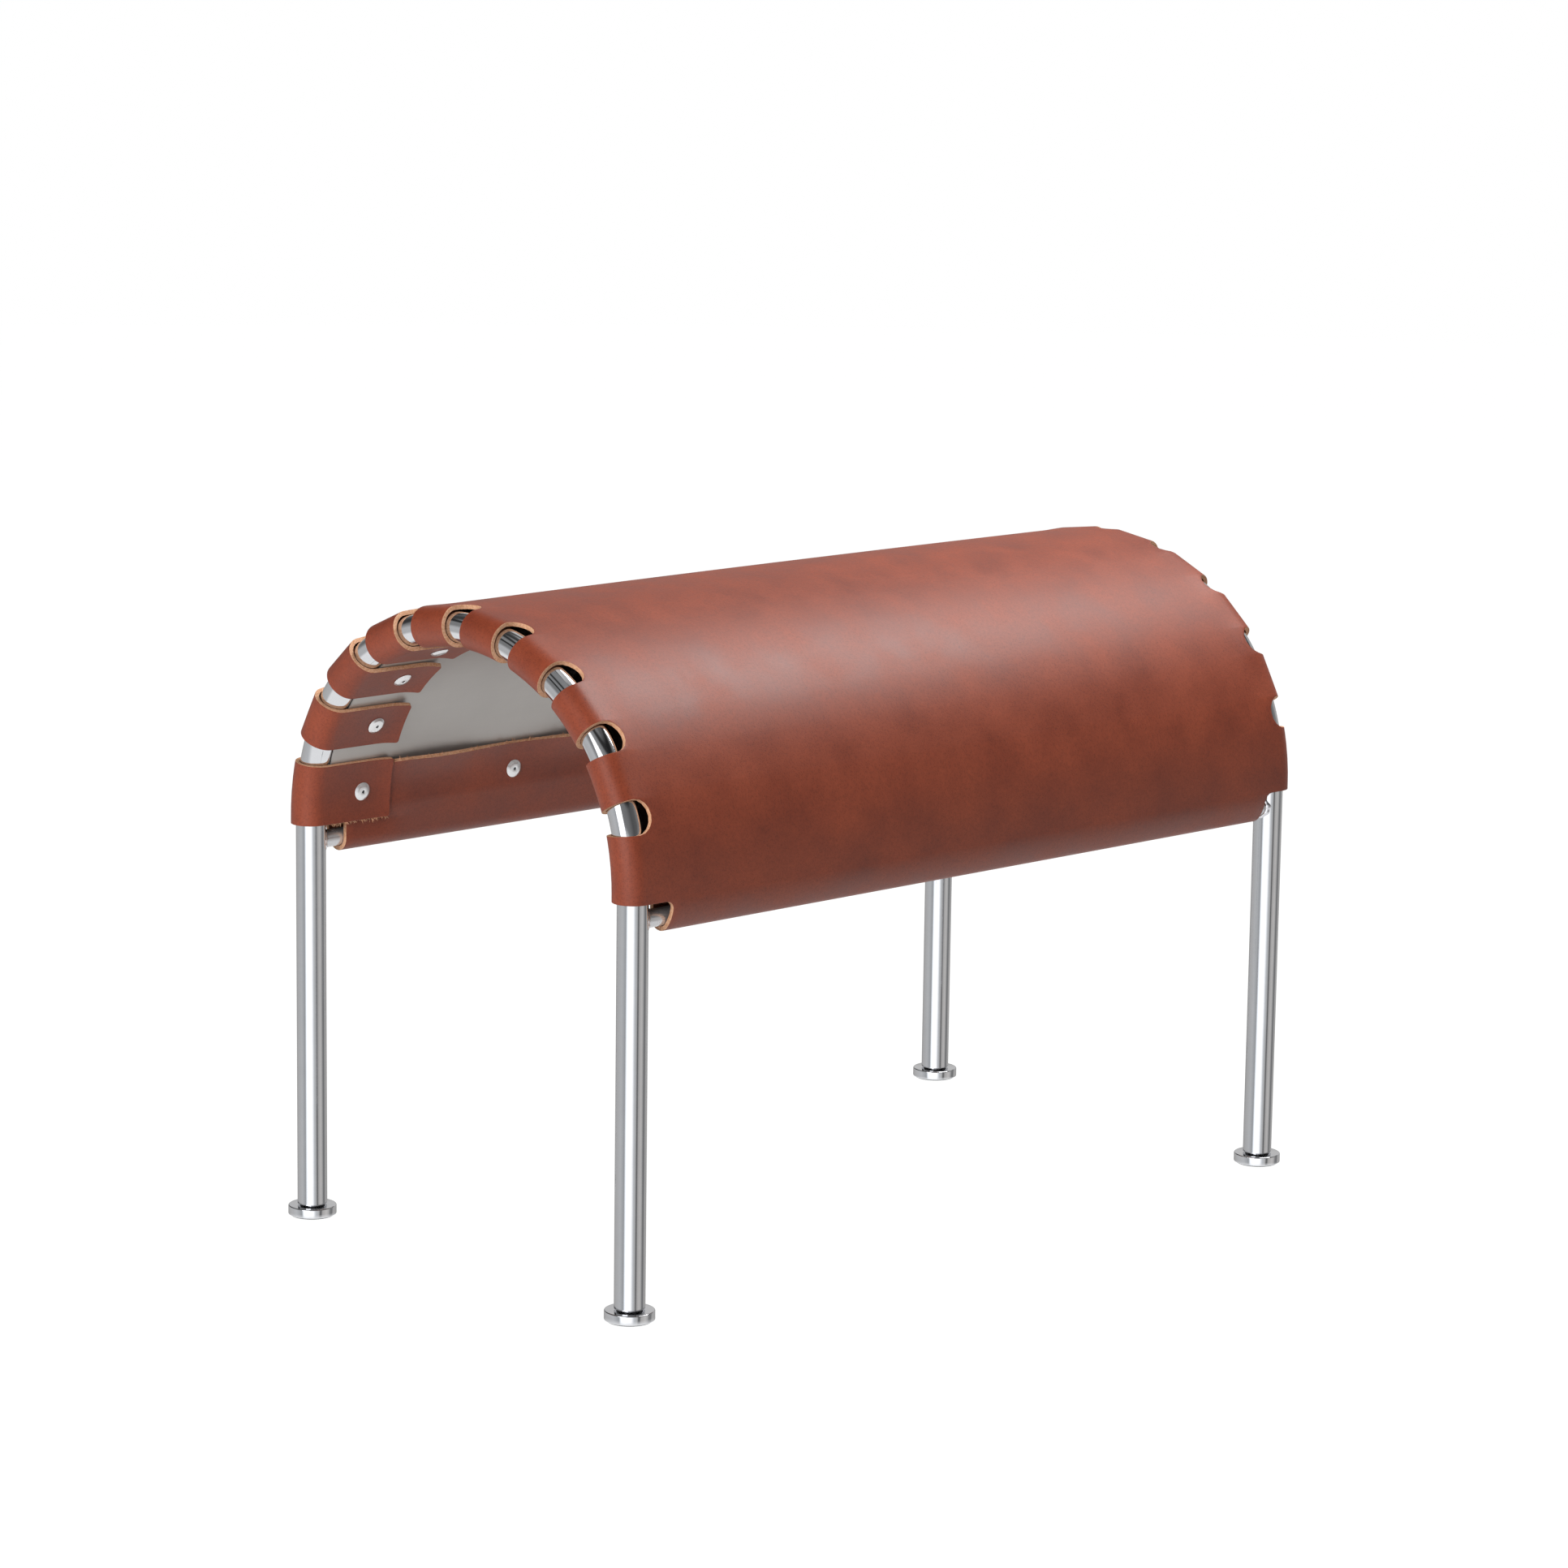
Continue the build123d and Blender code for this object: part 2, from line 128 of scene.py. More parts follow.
class End(Signed):
    """An end of the stool, along X."""

    NEAR = -1
    FAR = 1


class Side(Signed):
    """A side of the stool, along Y."""

    LEFT = 1
    RIGHT = -1


@dataclass(frozen=True)
class ArchLine:
    """Centre line of a hoop: two straight legs, two tight shoulders and a wider crown between them.

    A place on it is given by the run, which is the length along it from the crown, positive to the
    left, and by the offset out from it.
    """

    half_length: float = 0.296
    half_width: float = 0.162
    springing: float = 0.274
    shoulder_radius: float = 0.141
    shoulder_angle: float = radians(57.42)
    tube_radius: float = 0.010

    @cached_property
    def shoulder_offset(self) -> float:
        """Y of the left shoulder's centre."""
        return self.half_width - self.shoulder_radius

    @cached_property
    def crown_radius(self) -> float:
        """Radius of the crown."""
        return self.shoulder_radius + self.shoulder_offset / cos(self.shoulder_angle)

    @cached_property
    def crown_height(self) -> float:
        """Z of the crown's centre."""
        return self.springing - self.shoulder_offset * tan(self.shoulder_angle)

    @cached_property
    def crown_half_arc(self) -> float:
        """Run of the place where the crown meets the shoulder."""
        return self.crown_radius * (pi / 2 - self.shoulder_angle)

    @cached_property
    def shoulder_foot(self) -> float:
        """Run of the place where the shoulder meets the leg."""
        return self.crown_half_arc + self.shoulder_radius * self.shoulder_angle

    def radius_at(self, run: float) -> float:
        """Radius of the arc that holds a run."""
        return self.crown_radius if abs(run) <= self.crown_half_arc else self.shoulder_radius

    def place(self, run: float, offset: float) -> tuple[float, float, float]:
        """Finds a place on the hoop.

        Args:
            run: Length along the centre line from the crown, positive to the left.
            offset: Distance out from the centre line.

        Returns:
            Y, Z, and the angle of the outward normal above +Y.
        """
        length = abs(run)
        if length <= self.crown_half_arc:
            angle = pi / 2 - length / self.crown_radius
            y = (self.crown_radius + offset) * cos(angle)
            z = self.crown_height + (self.crown_radius + offset) * sin(angle)
        elif length <= self.shoulder_foot:
            angle = self.shoulder_angle - (length - self.crown_half_arc) / self.shoulder_radius
            y = self.shoulder_offset + (self.shoulder_radius + offset) * cos(angle)
            z = self.springing + (self.shoulder_radius + offset) * sin(angle)
        else:
            angle = 0.0
            y = self.half_width + offset
            z = self.springing - (length - self.shoulder_foot)
        return (y, z, angle) if run >= 0 else (-y, z, pi - angle)


ARCH = ArchLine()


@dataclass
class Workpiece:
    """A mesh on the bench, with the hand operations that shape it."""

    obj: bpy.types.Object

    @staticmethod
    def clear_bench() -> None:
        """Leaves edit mode and lets go of everything."""
        if bpy.context.mode != "OBJECT":
            bpy.ops.object.mode_set(mode="OBJECT")
        bpy.ops.object.select_all(action="DESELECT")

    @classmethod
    def named(cls, name: str) -> "Workpiece":
        """Takes up the object that was made last, names it and puts its place into its mesh."""
        obj = bpy.context.object
        obj.name = name
        obj.data.name = name
        bpy.ops.object.transform_apply(location=True, rotation=True, scale=True)
        return cls(obj)

    @classmethod
    def ring(cls, name: str, radius: float, centre: Sequence[float], segments: int,
             turn: Sequence[float] = (0, 0, 0), fill: str = "NOTHING") -> "Workpiece":
        """Starts a piece from a circle.

        Args:
            name: Name of the new piece.
            radius: Radius of the circle.
            centre: Its centre.
            segments: Count of its edges.
            turn: Its rotation from lying flat.
            fill: How the circle is filled.

        Returns:
            The piece.
        """
        cls.clear_bench()
        bpy.ops.mesh.primitive_circle_add(vertices=segments, radius=radius, fill_type=fill,
                                          location=centre, rotation=turn)
        return cls.named(name)

    @classmethod
    def grid(cls, name: str, wide: int, tall: int) -> "Workpiece":
        """Starts a piece from a flat square grid, given its counts of cells."""
        cls.clear_bench()
        bpy.ops.mesh.primitive_grid_add(x_subdivisions=wide, y_subdivisions=tall, size=GRID_SIDE)
        return cls.named(name)

    @classmethod
    def turned(cls, name: str, profile: Profile, segments: int) -> "Workpiece":
        """Turns a piece about the Z axis, ring by ring.

        Args:
            name: Name of the new piece.
            profile: Radius and height of each ring. A last radius of 0 closes the piece in a point,
                and a last ring equal to the first closes it in itself.
            segments: Count of edges round it.

        Returns:
            The piece.
        """
        radius, height = profile[0]
        piece = cls.ring(name, radius, (0, 0, height), segments)
        with piece.editing():
            for next_radius, next_height in profile[1:]:
                piece.pull(0, 0, next_height - height)
                scale = next_radius / radius
                bpy.ops.transform.resize(value=(scale, scale, 1),
                                         center_override=(0, 0, next_height))
                radius, height = next_radius, next_height
                if radius == 0:
                    bpy.ops.mesh.merge(type="CENTER")
        return piece

    @classmethod
    def joined(cls, name: str, objects: Sequence[bpy.types.Object]) -> "Workpiece":
        """Joins objects into one piece, which keeps the first one's place."""
        cls.clear_bench()
        for obj in objects:
            obj.select_set(True)
        bpy.context.view_layer.objects.active = objects[0]
        bpy.ops.object.join()
        return cls.named(name)

    def take_up(self) -> None:
        """Clears the bench and takes up this piece alone."""
        self.clear_bench()
        self.obj.select_set(True)
        bpy.context.view_layer.objects.active = self.obj

    @contextmanager
    def editing(self) -> Iterator[None]:
        """Holds the piece in edit mode with every vertex selected, and closes its seams after."""
        self.take_up()
        bpy.ops.object.mode_set(mode="EDIT")
        bpy.ops.mesh.select_mode(type="VERT")
        bpy.ops.mesh.select_all(action="SELECT")
        yield
        self.close_seams()

    def close_seams(self) -> None:
        """Merges doubled vertices and points every face outwards."""
        self.take_up()
        bpy.ops.object.mode_set(mode="EDIT")
        bpy.ops.mesh.select_mode(type="VERT")
        bpy.ops.mesh.select_all(action="SELECT")
        bpy.ops.mesh.remove_doubles(threshold=DOUBLE_GAP)
        bpy.ops.mesh.normals_make_consistent(inside=False)
        bpy.ops.object.mode_set(mode="OBJECT")

    @staticmethod
    def pull(x: float, y: float, z: float) -> None:
        """Extrudes the selected edges, in edit mode."""
        bpy.ops.mesh.extrude_edges_move(TRANSFORM_OT_translate={"value": (x, y, z)})

    @staticmethod
    def spin_over_arch(x: float, shoulder: float, shoulder_steps: int, crown_steps: int) -> None:
        """Spins the selected edges over the arch from left to right, in edit mode.

        Args:
            x: Place of the spin's centres along the tunnel.
            shoulder: Angle of the part of each shoulder that is covered.
            shoulder_steps: Count of steps in each shoulder.
            crown_steps: Count of steps in the crown.
        """
        crown = pi - 2 * ARCH.shoulder_angle
        for angle, y, z, count in (
                (shoulder, ARCH.shoulder_offset, ARCH.springing, shoulder_steps),
                (crown, 0.0, ARCH.crown_height, crown_steps),
                (shoulder, -ARCH.shoulder_offset, ARCH.springing, shoulder_steps)):
            bpy.ops.mesh.spin(steps=count, angle=-angle, center=(x, y, z), axis=(1, 0, 0))

    def select_vertices(self, wanted: Callable[[Vector], bool]) -> None:
        """Selects the vertices that pass a test of their place, while the piece is in edit mode."""
        bpy.ops.mesh.select_all(action="DESELECT")
        bpy.ops.object.mode_set(mode="OBJECT")
        for vertex in self.obj.data.vertices:
            vertex.select = wanted(vertex.co)
        bpy.ops.object.mode_set(mode="EDIT")

    def cap(self, wanted: Callable[[Vector], bool]) -> None:
        """Closes a ring of vertices, picked by a test of their place, with one face."""
        with self.editing():
            self.select_vertices(wanted)
            bpy.ops.mesh.edge_face_add()

    def shape(self, move: Callable[[Vector], Vector]) -> None:
        """Moves every vertex by a rule."""
        for vertex in self.obj.data.vertices:
            vertex.co = move(vertex.co)
        self.obj.data.update()

    def modifier(self, kind: str, **settings: object) -> None:
        """Adds a modifier with its settings and applies it."""
        self.take_up()
        modifier = self.obj.modifiers.new(kind.lower(), kind)
        for key, value in settings.items():
            setattr(modifier, key, value)
        bpy.ops.object.modifier_apply(modifier=modifier.name)

    def thicken(self, thickness: float, **settings: object) -> None:
        """Gives a sheet its thickness, on the back of its faces."""
        self.modifier("SOLIDIFY", thickness=thickness, offset=-1.0, use_even_offset=True,
                      **settings)

    def soften_edges(self, width: float, angle: float = radians(35)) -> None:
        """Rounds every edge that is sharper than an angle."""
        self.modifier("BEVEL", width=width, segments=2, limit_method="ANGLE", angle_limit=angle)

    def shade(self, angle: float = radians(40)) -> None:
        """Shades the piece smooth, apart from edges sharper than an angle."""
        self.take_up()
        bpy.ops.object.shade_smooth_by_angle(angle=angle)

    def copied_to(self, matrix: Matrix) -> bpy.types.Object:
        """Copies the piece, mesh and all, and puts the copy's place into its mesh."""
        copy = self.obj.copy()
        copy.data = self.obj.data.copy()
        copy.data.transform(matrix)
        bpy.context.collection.objects.link(copy)
        return copy

    def repeated(self, name: str, matrices: Iterable[Matrix]) -> "Workpiece":
        """Makes one piece of a copy at each place."""
        return self.joined(name, [self.copied_to(matrix) for matrix in matrices])

    def discard(self) -> None:
        """Takes a pattern piece off the bench."""
        bpy.data.objects.remove(self.obj)

    def fit(self, slot: str, materials: Sequence[bpy.types.Material], *nodes: str,
            body: str = "root") -> None:
        """Puts the finished piece on its body, in place of its nodes.

        Args:
            slot: Not used.
            materials: The materials that it is still to be given.
            nodes: Nodes that it stands for.
            body: Body that it rides on.
        """
        self.clear_bench()
        for material in materials:
            self.obj.data.materials.append(material)
        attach(self.obj, body)
        if nodes:
            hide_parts(*nodes)
        log.info("%s: %d faces on %s", self.obj.name, len(self.obj.data.polygons), body)


class NodeSheet:
    """A node tree being laid out."""

    def __init__(self, tree: bpy.types.NodeTree) -> None:
        """Starts with an empty tree."""
        self.tree = tree
        tree.nodes.clear()

    def add(self, kind: str, inputs: dict[str | int, object] | None = None,
            **settings: object) -> bpy.types.Node:
        """Adds a node.

        Args:
            kind: Type of the node, without its ShaderNode prefix, or whole.
            inputs: For each input, a value or the output that feeds it.
            settings: The node's own settings.

        Returns:
            The node.
        """
        prefixed = kind if kind.startswith("NodeGroup") else f"ShaderNode{kind}"
        node = self.tree.nodes.new(prefixed)
        for key, value in settings.items():
            setattr(node, key, value)
        for key, value in (inputs or {}).items():
            if isinstance(value, Socket):
                self.tree.links.new(value, node.inputs[key])
            else:
                node.inputs[key].default_value = value
        return node

    def ramp(self, factor: Socket, stops: Sequence[tuple[float, Colour]]) -> Socket:
        """Colours a factor by even blends between stops, each a place and a colour."""
        node = self.add("ValToRGB", {"Fac": factor})
        ramp = node.color_ramp
        ramp.interpolation = "LINEAR"
        while len(ramp.elements) < len(stops):
            ramp.elements.new(0.5)
        for element, (place, colour) in zip(ramp.elements, stops):
            element.position = place
            element.color = colour
        return node.outputs["Color"]

    def ranged(self, value: Socket, low: object = 0.0, high: object = 1.0, start: float = 0.0,
               stop: float = 1.0) -> Socket:
        """Spreads a value's stretch from start to stop over low to high, and holds it there."""
        return self.add("MapRange", {"Value": value, "From Min": start, "From Max": stop,
                                     "To Min": low, "To Max": high}).outputs["Result"]

    def mix(self, factor: object, first: object, second: object, blend: str = "MIX") -> Socket:
        """Mixes two colours by the share of the second; each may be a value or an output."""
        return self.add("Mix", {0: factor, 6: first, 7: second}, data_type="RGBA",
                        blend_type=blend).outputs[2]

    def blend(self, factor: object, first: Socket, second: Socket) -> Socket:
        """Mixes two plain values by the share of the second."""
        return self.add("Mix", {0: factor, 2: first, 3: second}, data_type="FLOAT").outputs[0]

    def maths(self, operation: str, first: Socket, second: object) -> Socket:
        """Works out one sum."""
        return self.add("Math", {0: first, 1: second}, operation=operation).outputs[0]

    def either(self, share: object, first: bpy.types.Node,
               second: bpy.types.Node) -> bpy.types.Node:
        """Mixes two shaders by the share of the second."""
        return self.add("MixShader", {0: share, 1: first.outputs[0], 2: second.outputs[0]})

    def noise(self, vector: Socket, scale: object, detail: float, roughness: float = 0.5,
              distortion: float = 0.0) -> Socket:
        """Lays out a noise, as a value."""
        node = self.add("TexNoise", {"Vector": vector, "Scale": scale, "Detail": detail,
                                     "Roughness": roughness, "Distortion": distortion})
        return node.outputs["Fac"]

    def cloud(self, vector: Socket, scale: float, fine_share: float) -> Socket:
        """Places the shared group for soft cloudy tone."""
        return self.add("Group", {"Vector": vector, "Scale": scale, "Fine Share": fine_share},
                        node_tree=mottling_group()).outputs["Mask"]

    def bump(self, height: Socket, strength: float, distance: float) -> Socket:
        """Raises the surface by a height, as a normal."""
        return self.add("Bump", {"Height": height, "Strength": strength,
                                 "Distance": distance}).outputs["Normal"]

    def surface(self, **inputs: object) -> None:
        """Ends a material in one principled shader, its inputs written with underscores."""
        shader = self.add("BsdfPrincipled", {key.replace("_", " "): value
                                             for key, value in inputs.items()})
        self.add("OutputMaterial", {"Surface": shader.outputs[0]})


def open_group(name: str, inputs: dict[str, float],
               output: str) -> tuple[NodeSheet, bpy.types.bpy_prop_collection]:
    """Starts a shader node group that turns a vector and some values into one value.

    Args:
        name: Name of the group.
        inputs: Default of each value.
        output: Name of the value that it gives.

    Returns:
        The group's sheet of nodes, and what comes into it.
    """
    tree = bpy.data.node_groups.new(name, "ShaderNodeTree")
    tree.interface.new_socket(name="Vector", in_out="INPUT", socket_type="NodeSocketVector")
    for key, value in inputs.items():
        socket = tree.interface.new_socket(name=key, in_out="INPUT", socket_type="NodeSocketFloat")
        socket.default_value = value
    tree.interface.new_socket(name=output, in_out="OUTPUT", socket_type="NodeSocketFloat")
    sheet = NodeSheet(tree)
    return sheet, sheet.add("NodeGroupInput").outputs


@cache
def mottling_group() -> bpy.types.NodeTree:
    """Builds the group for soft cloudy tone: two sizes of noise, as a mask from 0 to 1."""
    sheet, given = open_group("soft_mottling", {"Scale": 20.0, "Fine Share": 0.3}, "Mask")
    fine_scale = sheet.maths("MULTIPLY", given["Scale"], FINE_RATIO)
    coarse = sheet.noise(given["Vector"], given["Scale"], detail=3.0, roughness=0.55)
    fine = sheet.noise(given["Vector"], fine_scale, detail=5.0, roughness=0.6)
    both = sheet.blend(given["Fine Share"], coarse, fine)
    sheet.add("NodeGroupOutput", {"Mask": sheet.ranged(both, start=0.32, stop=0.68)})
    return sheet.tree


@cache
def handling_group() -> bpy.types.NodeTree:
    """Builds the group for handled metal: a faint cloud of marks, as a roughness."""
    sheet, given = open_group("handling_marks", {"Scale": 12.0, "Clean": 0.05, "Marked": 0.12},
                              "Roughness")
    marks = sheet.noise(given["Vector"], given["Scale"], detail=4.0, roughness=0.6, distortion=0.4)
    sheet.add("NodeGroupOutput", {"Roughness": sheet.ranged(marks, given["Clean"], given["Marked"],
                                                            start=0.4, stop=0.75)})
    return sheet.tree


def new_material(name: str) -> tuple[bpy.types.Material, NodeSheet]:
    """Makes a material, and its sheet of nodes with nothing on it."""
    material = bpy.data.materials.new(name)
    material.use_nodes = True
    return material, NodeSheet(material.node_tree)


@dataclass(frozen=True)
class PolishedMetal:
    """Plated or polished metal with faint handling marks."""

    name: str
    colour: Colour
    clean_roughness: float
    marked_roughness: float
    mark_scale: float = 14.0
    metallic: float = 1.0
    dimming: float = 0.94
    cloud_ratio: float = 2.0
    cloud_fineness: float = 0.5

    def build(self) -> bpy.types.Material:
        """Builds the finish's material."""
        material, sheet = new_material(self.name)
        place = sheet.add("TexCoord").outputs["Object"]
        marks = sheet.add("Group", {"Vector": place, "Scale": self.mark_scale,
                                    "Clean": self.clean_roughness, "Marked": self.marked_roughness},
                          node_tree=handling_group())
        cloud = sheet.cloud(place, self.mark_scale * self.cloud_ratio, self.cloud_fineness)
        sheet.surface(Base_Color=sheet.mix(cloud, self.colour, toned(self.colour, self.dimming)),
                      Metallic=self.metallic, Roughness=marks.outputs["Roughness"])
        return material


@dataclass(frozen=True)
class GrainedFinish:
    """A finish of two clouded tones, with one fine grain in its gloss and its surface.

    The cloud is given by its scale and its share of fine noise, the grain by its scale and detail,
    and the relief by its strength and height. A grain drawn along the tunnel has a stretch under 1.
    """

    name: str
    colour: Colour
    clouded: Colour
    cloud: tuple[float, float]
    grain: tuple[float, float]
    roughness: tuple[float, float]
    relief: tuple[float, float]
    metallic: float = 0.0
    stretch: float = 1.0

    def build(self) -> bpy.types.Material:
        """Builds the finish's material."""
        material, sheet = new_material(self.name)
        place = sheet.add("TexCoord").outputs["Object"]
        drawn = sheet.add("Mapping", {"Vector": place, "Scale": (self.stretch, 1.0, 1.0)})
        grain = sheet.noise(drawn.outputs[0], *self.grain)
        tone = sheet.mix(sheet.cloud(place, *self.cloud), self.colour, self.clouded)
        sheet.surface(Base_Color=tone, Metallic=self.metallic,
                      Roughness=sheet.ranged(grain, *self.roughness),
                      Normal=sheet.bump(grain, *self.relief))
        return material


@dataclass(frozen=True)
class GrainLeather:
    """Grain side of saddle leather: smooth, waxed and softly clouded, with pores and creases."""

    name: str = "saddle_leather_grain"
    deep: Colour = srgb(131, 57, 35)
    warm: Colour = srgb(156, 72, 45)
    cloud: tuple[float, float] = (26.0, 0.2)
    pore_scale: float = 820.0
    pore_width: float = 0.45
    creases: tuple[float, float, float] = (420.0, 6.0, 0.7)
    crease_share: float = 0.65
    # Painted shade and painted light of the relief: the heights over which the colour is scaled,
    # and its darkest and lightest factors.
    speckled_heights: tuple[float, float] = (0.42, 0.78)
    speckle: tuple[float, float] = (0.72, 1.13)
    roughness: tuple[float, float] = (0.43, 0.52)
    relief: tuple[float, float] = (0.45, 0.0002)
    wax: float = 0.6

    def build(self) -> bpy.types.Material:
        """Builds the finish's material."""
        material, sheet = new_material(self.name)
        flat = sheet.add("UVMap", uv_map="UVMap").outputs["UV"]
        cloud = sheet.cloud(flat, *self.cloud)
        pores = sheet.add("TexVoronoi", {"Vector": flat, "Scale": self.pore_scale},
                          feature="F1").outputs["Distance"]
        height = sheet.blend(self.crease_share, sheet.ranged(pores, stop=self.pore_width),
                             sheet.noise(flat, *self.creases))
        # Painted shade in the pores and crease valleys and painted light on the raised grain,
        # scaling the leather's colour by the bump's height.
        speckle = sheet.ranged(height, *self.speckle, *self.speckled_heights)
        relief_shaded_tone = sheet.add("VectorMath", {0: sheet.mix(cloud, self.deep, self.warm),
                                           "Scale": speckle}, operation="SCALE").outputs[0]
        sheet.surface(Base_Color=relief_shaded_tone, Roughness=sheet.ranged(cloud, *self.roughness),
                      Specular_IOR_Level=self.wax, Normal=sheet.bump(height, *self.relief))
        return material


@dataclass(frozen=True)
class CutLeather:
    """Cut edge of the hide: undyed tan with darker fibres."""

    name: str = "saddle_leather_cut_edge"
    pale: Colour = srgb(236, 186, 150)
    fibre: Colour = srgb(206, 146, 106)
    fleck: tuple[float, float, float] = (700.0, 5.0, 0.7)
    flecked_from: tuple[float, float] = (0.42, 0.66)
    roughness: tuple[float, float] = (0.72, 0.9)
    relief: tuple[float, float] = (0.5, 0.0003)

    def build(self) -> bpy.types.Material:
        """Builds the finish's material."""
        material, sheet = new_material(self.name)
        fleck = sheet.noise(sheet.add("TexCoord").outputs["Object"], *self.fleck)
        flecked = sheet.ranged(fleck, 0.0, 1.0, *self.flecked_from)
        sheet.surface(Base_Color=sheet.mix(flecked, self.pale, self.fibre),
                      Roughness=sheet.ranged(fleck, *self.roughness),
                      Normal=sheet.bump(fleck, *self.relief))
        return material


def moulded_plastic(name: str, colour: Colour) -> GrainedFinish:
    """Moulded plastic with a fine spark-eroded grain."""
    return GrainedFinish(name, colour, toned(colour, 1.25, 0.01), (70.0, 0.5), (2200.0, 2.0),
                         (0.42, 0.58), (0.2, 0.0001))


class Palette:
    """Every material of the stool, built once."""

    def __init__(self) -> None:
        """Builds the materials."""
        satin = srgb(188, 184, 180)
        metal, plastic = PolishedMetal, moulded_plastic
        self.chrome = metal("chrome_tube", srgb(224, 225, 228), 0.08, 0.12).build()
        self.weld = metal("chrome_weld", srgb(222, 222, 226), 0.08, 0.2, 300.0).build()
        self.rail = metal("chrome_rail", srgb(228, 228, 230), 0.16, 0.32, 200.0, 0.55).build()
        self.foot = metal("chrome_foot", srgb(232, 233, 236), 0.03, 0.06).build()
        self.rivet = metal("rivet_steel", srgb(246, 246, 247), 0.16, 0.28, 120.0, 0.62).build()
        self.pin = metal("rivet_pin_steel", srgb(58, 58, 61), 0.3, 0.5, 200.0).build()
        self.stud = metal("stud_steel", srgb(196, 196, 190), 0.18, 0.34, 160.0).build()
        self.liner = GrainedFinish("liner_satin_steel", satin, toned(satin, 0.9), (9.0, 0.25),
                                   (900.0, 3.0), (0.34, 0.48), (0.15, 0.0001), 0.55, 0.02).build()
        self.grain = GrainLeather().build()
        self.flesh = GrainedFinish("saddle_leather_flesh", srgb(120, 66, 44), srgb(164, 104, 74),
                                   (60.0, 0.6), (900.0, 6.0), (0.8, 0.95), (0.5, 0.0004)).build()
        self.cut = CutLeather().build()
        self.nylon = plastic("insert_nylon", srgb(40, 40, 42)).build()
        self.glide = plastic("glide_plastic", srgb(66, 76, 78)).build()


@dataclass
class Hoops:
    """The two bent tube hoops, each with both legs and the arch in one tube."""

    wall: float = 0.0015
    foot_height: float = 0.0082
    segments: int = 72
    shoulder_steps: int = 60
    crown_steps: int = 64

    def build(self, palette: Palette) -> None:
        """Builds both hoops and fits them."""
        for end in End:
            name = f"hoop_{end.word}"
            x = end.value * ARCH.half_length
            leg = ARCH.springing - self.foot_height
            tube = Workpiece.ring(f"{name}_tube", ARCH.tube_radius,
                                  (x, ARCH.half_width, self.foot_height), self.segments)
            with tube.editing():
                tube.pull(0, 0, leg)
                tube.spin_over_arch(x, ARCH.shoulder_angle, self.shoulder_steps, self.crown_steps)
                tube.pull(0, 0, -leg)
            tube.thicken(self.wall)
            tube.shade()
            tube.fit("chrome_tube", [palette.chrome], name)


@dataclass
class Rails:
    """The two side rails, coped to the legs, and the weld bead at each of their ends."""

    radius: float = 0.006
    wall: float = 0.0012
    height: float = 0.2573
    root_gap: float = 0.00005
    segments: int = 48
    bead_radius: float = 0.0015
    bead_depth: float = 0.8
    bead_ripples: int = 9
    bead_ripple_height: float = 0.00018
    bead_segments: tuple[int, int] = (72, 14)
    bead_sharpest: float = radians(80)

    def leg_face(self, y: float) -> float:
        """Distance from the stool's middle to a leg's face, level with a place beside its axis."""
        reach = ARCH.tube_radius + self.root_gap
        return ARCH.half_length - sqrt(max(reach ** 2 - y ** 2, 0.0))

    def build(self, palette: Palette) -> None:
        """Builds the rails and their welds, and fits them."""
        for side in Side:
            name = f"rail_{side.word}"
            y = side.value * ARCH.half_width
            rail = Workpiece.ring(f"{name}_tube", self.radius, (-ARCH.half_length, y, self.height),
                                  self.segments, turn=(0, pi / 2, 0))
            with rail.editing():
                rail.pull(2 * ARCH.half_length, 0, 0)
            rail.shape(lambda place, y=y: Vector((
                copysign(self.leg_face(place.y - y), place.x), place.y, place.z)))
            rail.thicken(self.wall)
            rail.shade()
            rail.fit("chrome_tube", [palette.rail], name)
        self.weld(palette)

    def draped(self, place: Vector) -> Vector:
        """Moves a point of a flat bead on to the leg's round, with the ripples of the weld."""
        around = atan2(place.z, place.y)
        ripple = 1 + self.bead_ripple_height / self.bead_radius * sin(self.bead_ripples * around)
        swell = self.radius + (hypot(place.y, place.z) - self.radius) * ripple
        y, z = swell * cos(around), swell * sin(around)
        return Vector((self.leg_face(y) + place.x * self.bead_depth * ripple, y, z))

    def weld(self, palette: Palette) -> None:
        """Builds the four weld beads as one piece, each draped on the leg's round."""
        Workpiece.clear_bench()
        major, minor = self.bead_segments
        bpy.ops.mesh.primitive_torus_add(major_radius=self.radius + self.bead_radius / 3,
                                         minor_radius=self.bead_radius, major_segments=major,
                                         minor_segments=minor, rotation=(0, pi / 2, 0))
        bead = Workpiece.named("weld_bead_pattern")
        bead.shape(self.draped)
        beads = bead.repeated("rail_weld_beads", [
            Matrix.Translation((0, side.value * ARCH.half_width, self.height))
            @ Matrix.Scale(end.value, 4, (1, 0, 0)) for side in Side for end in End])
        bead.discard()
        beads.close_seams()
        beads.shade(self.bead_sharpest)
        beads.fit("weld_chrome", [palette.weld], "rail_welds")


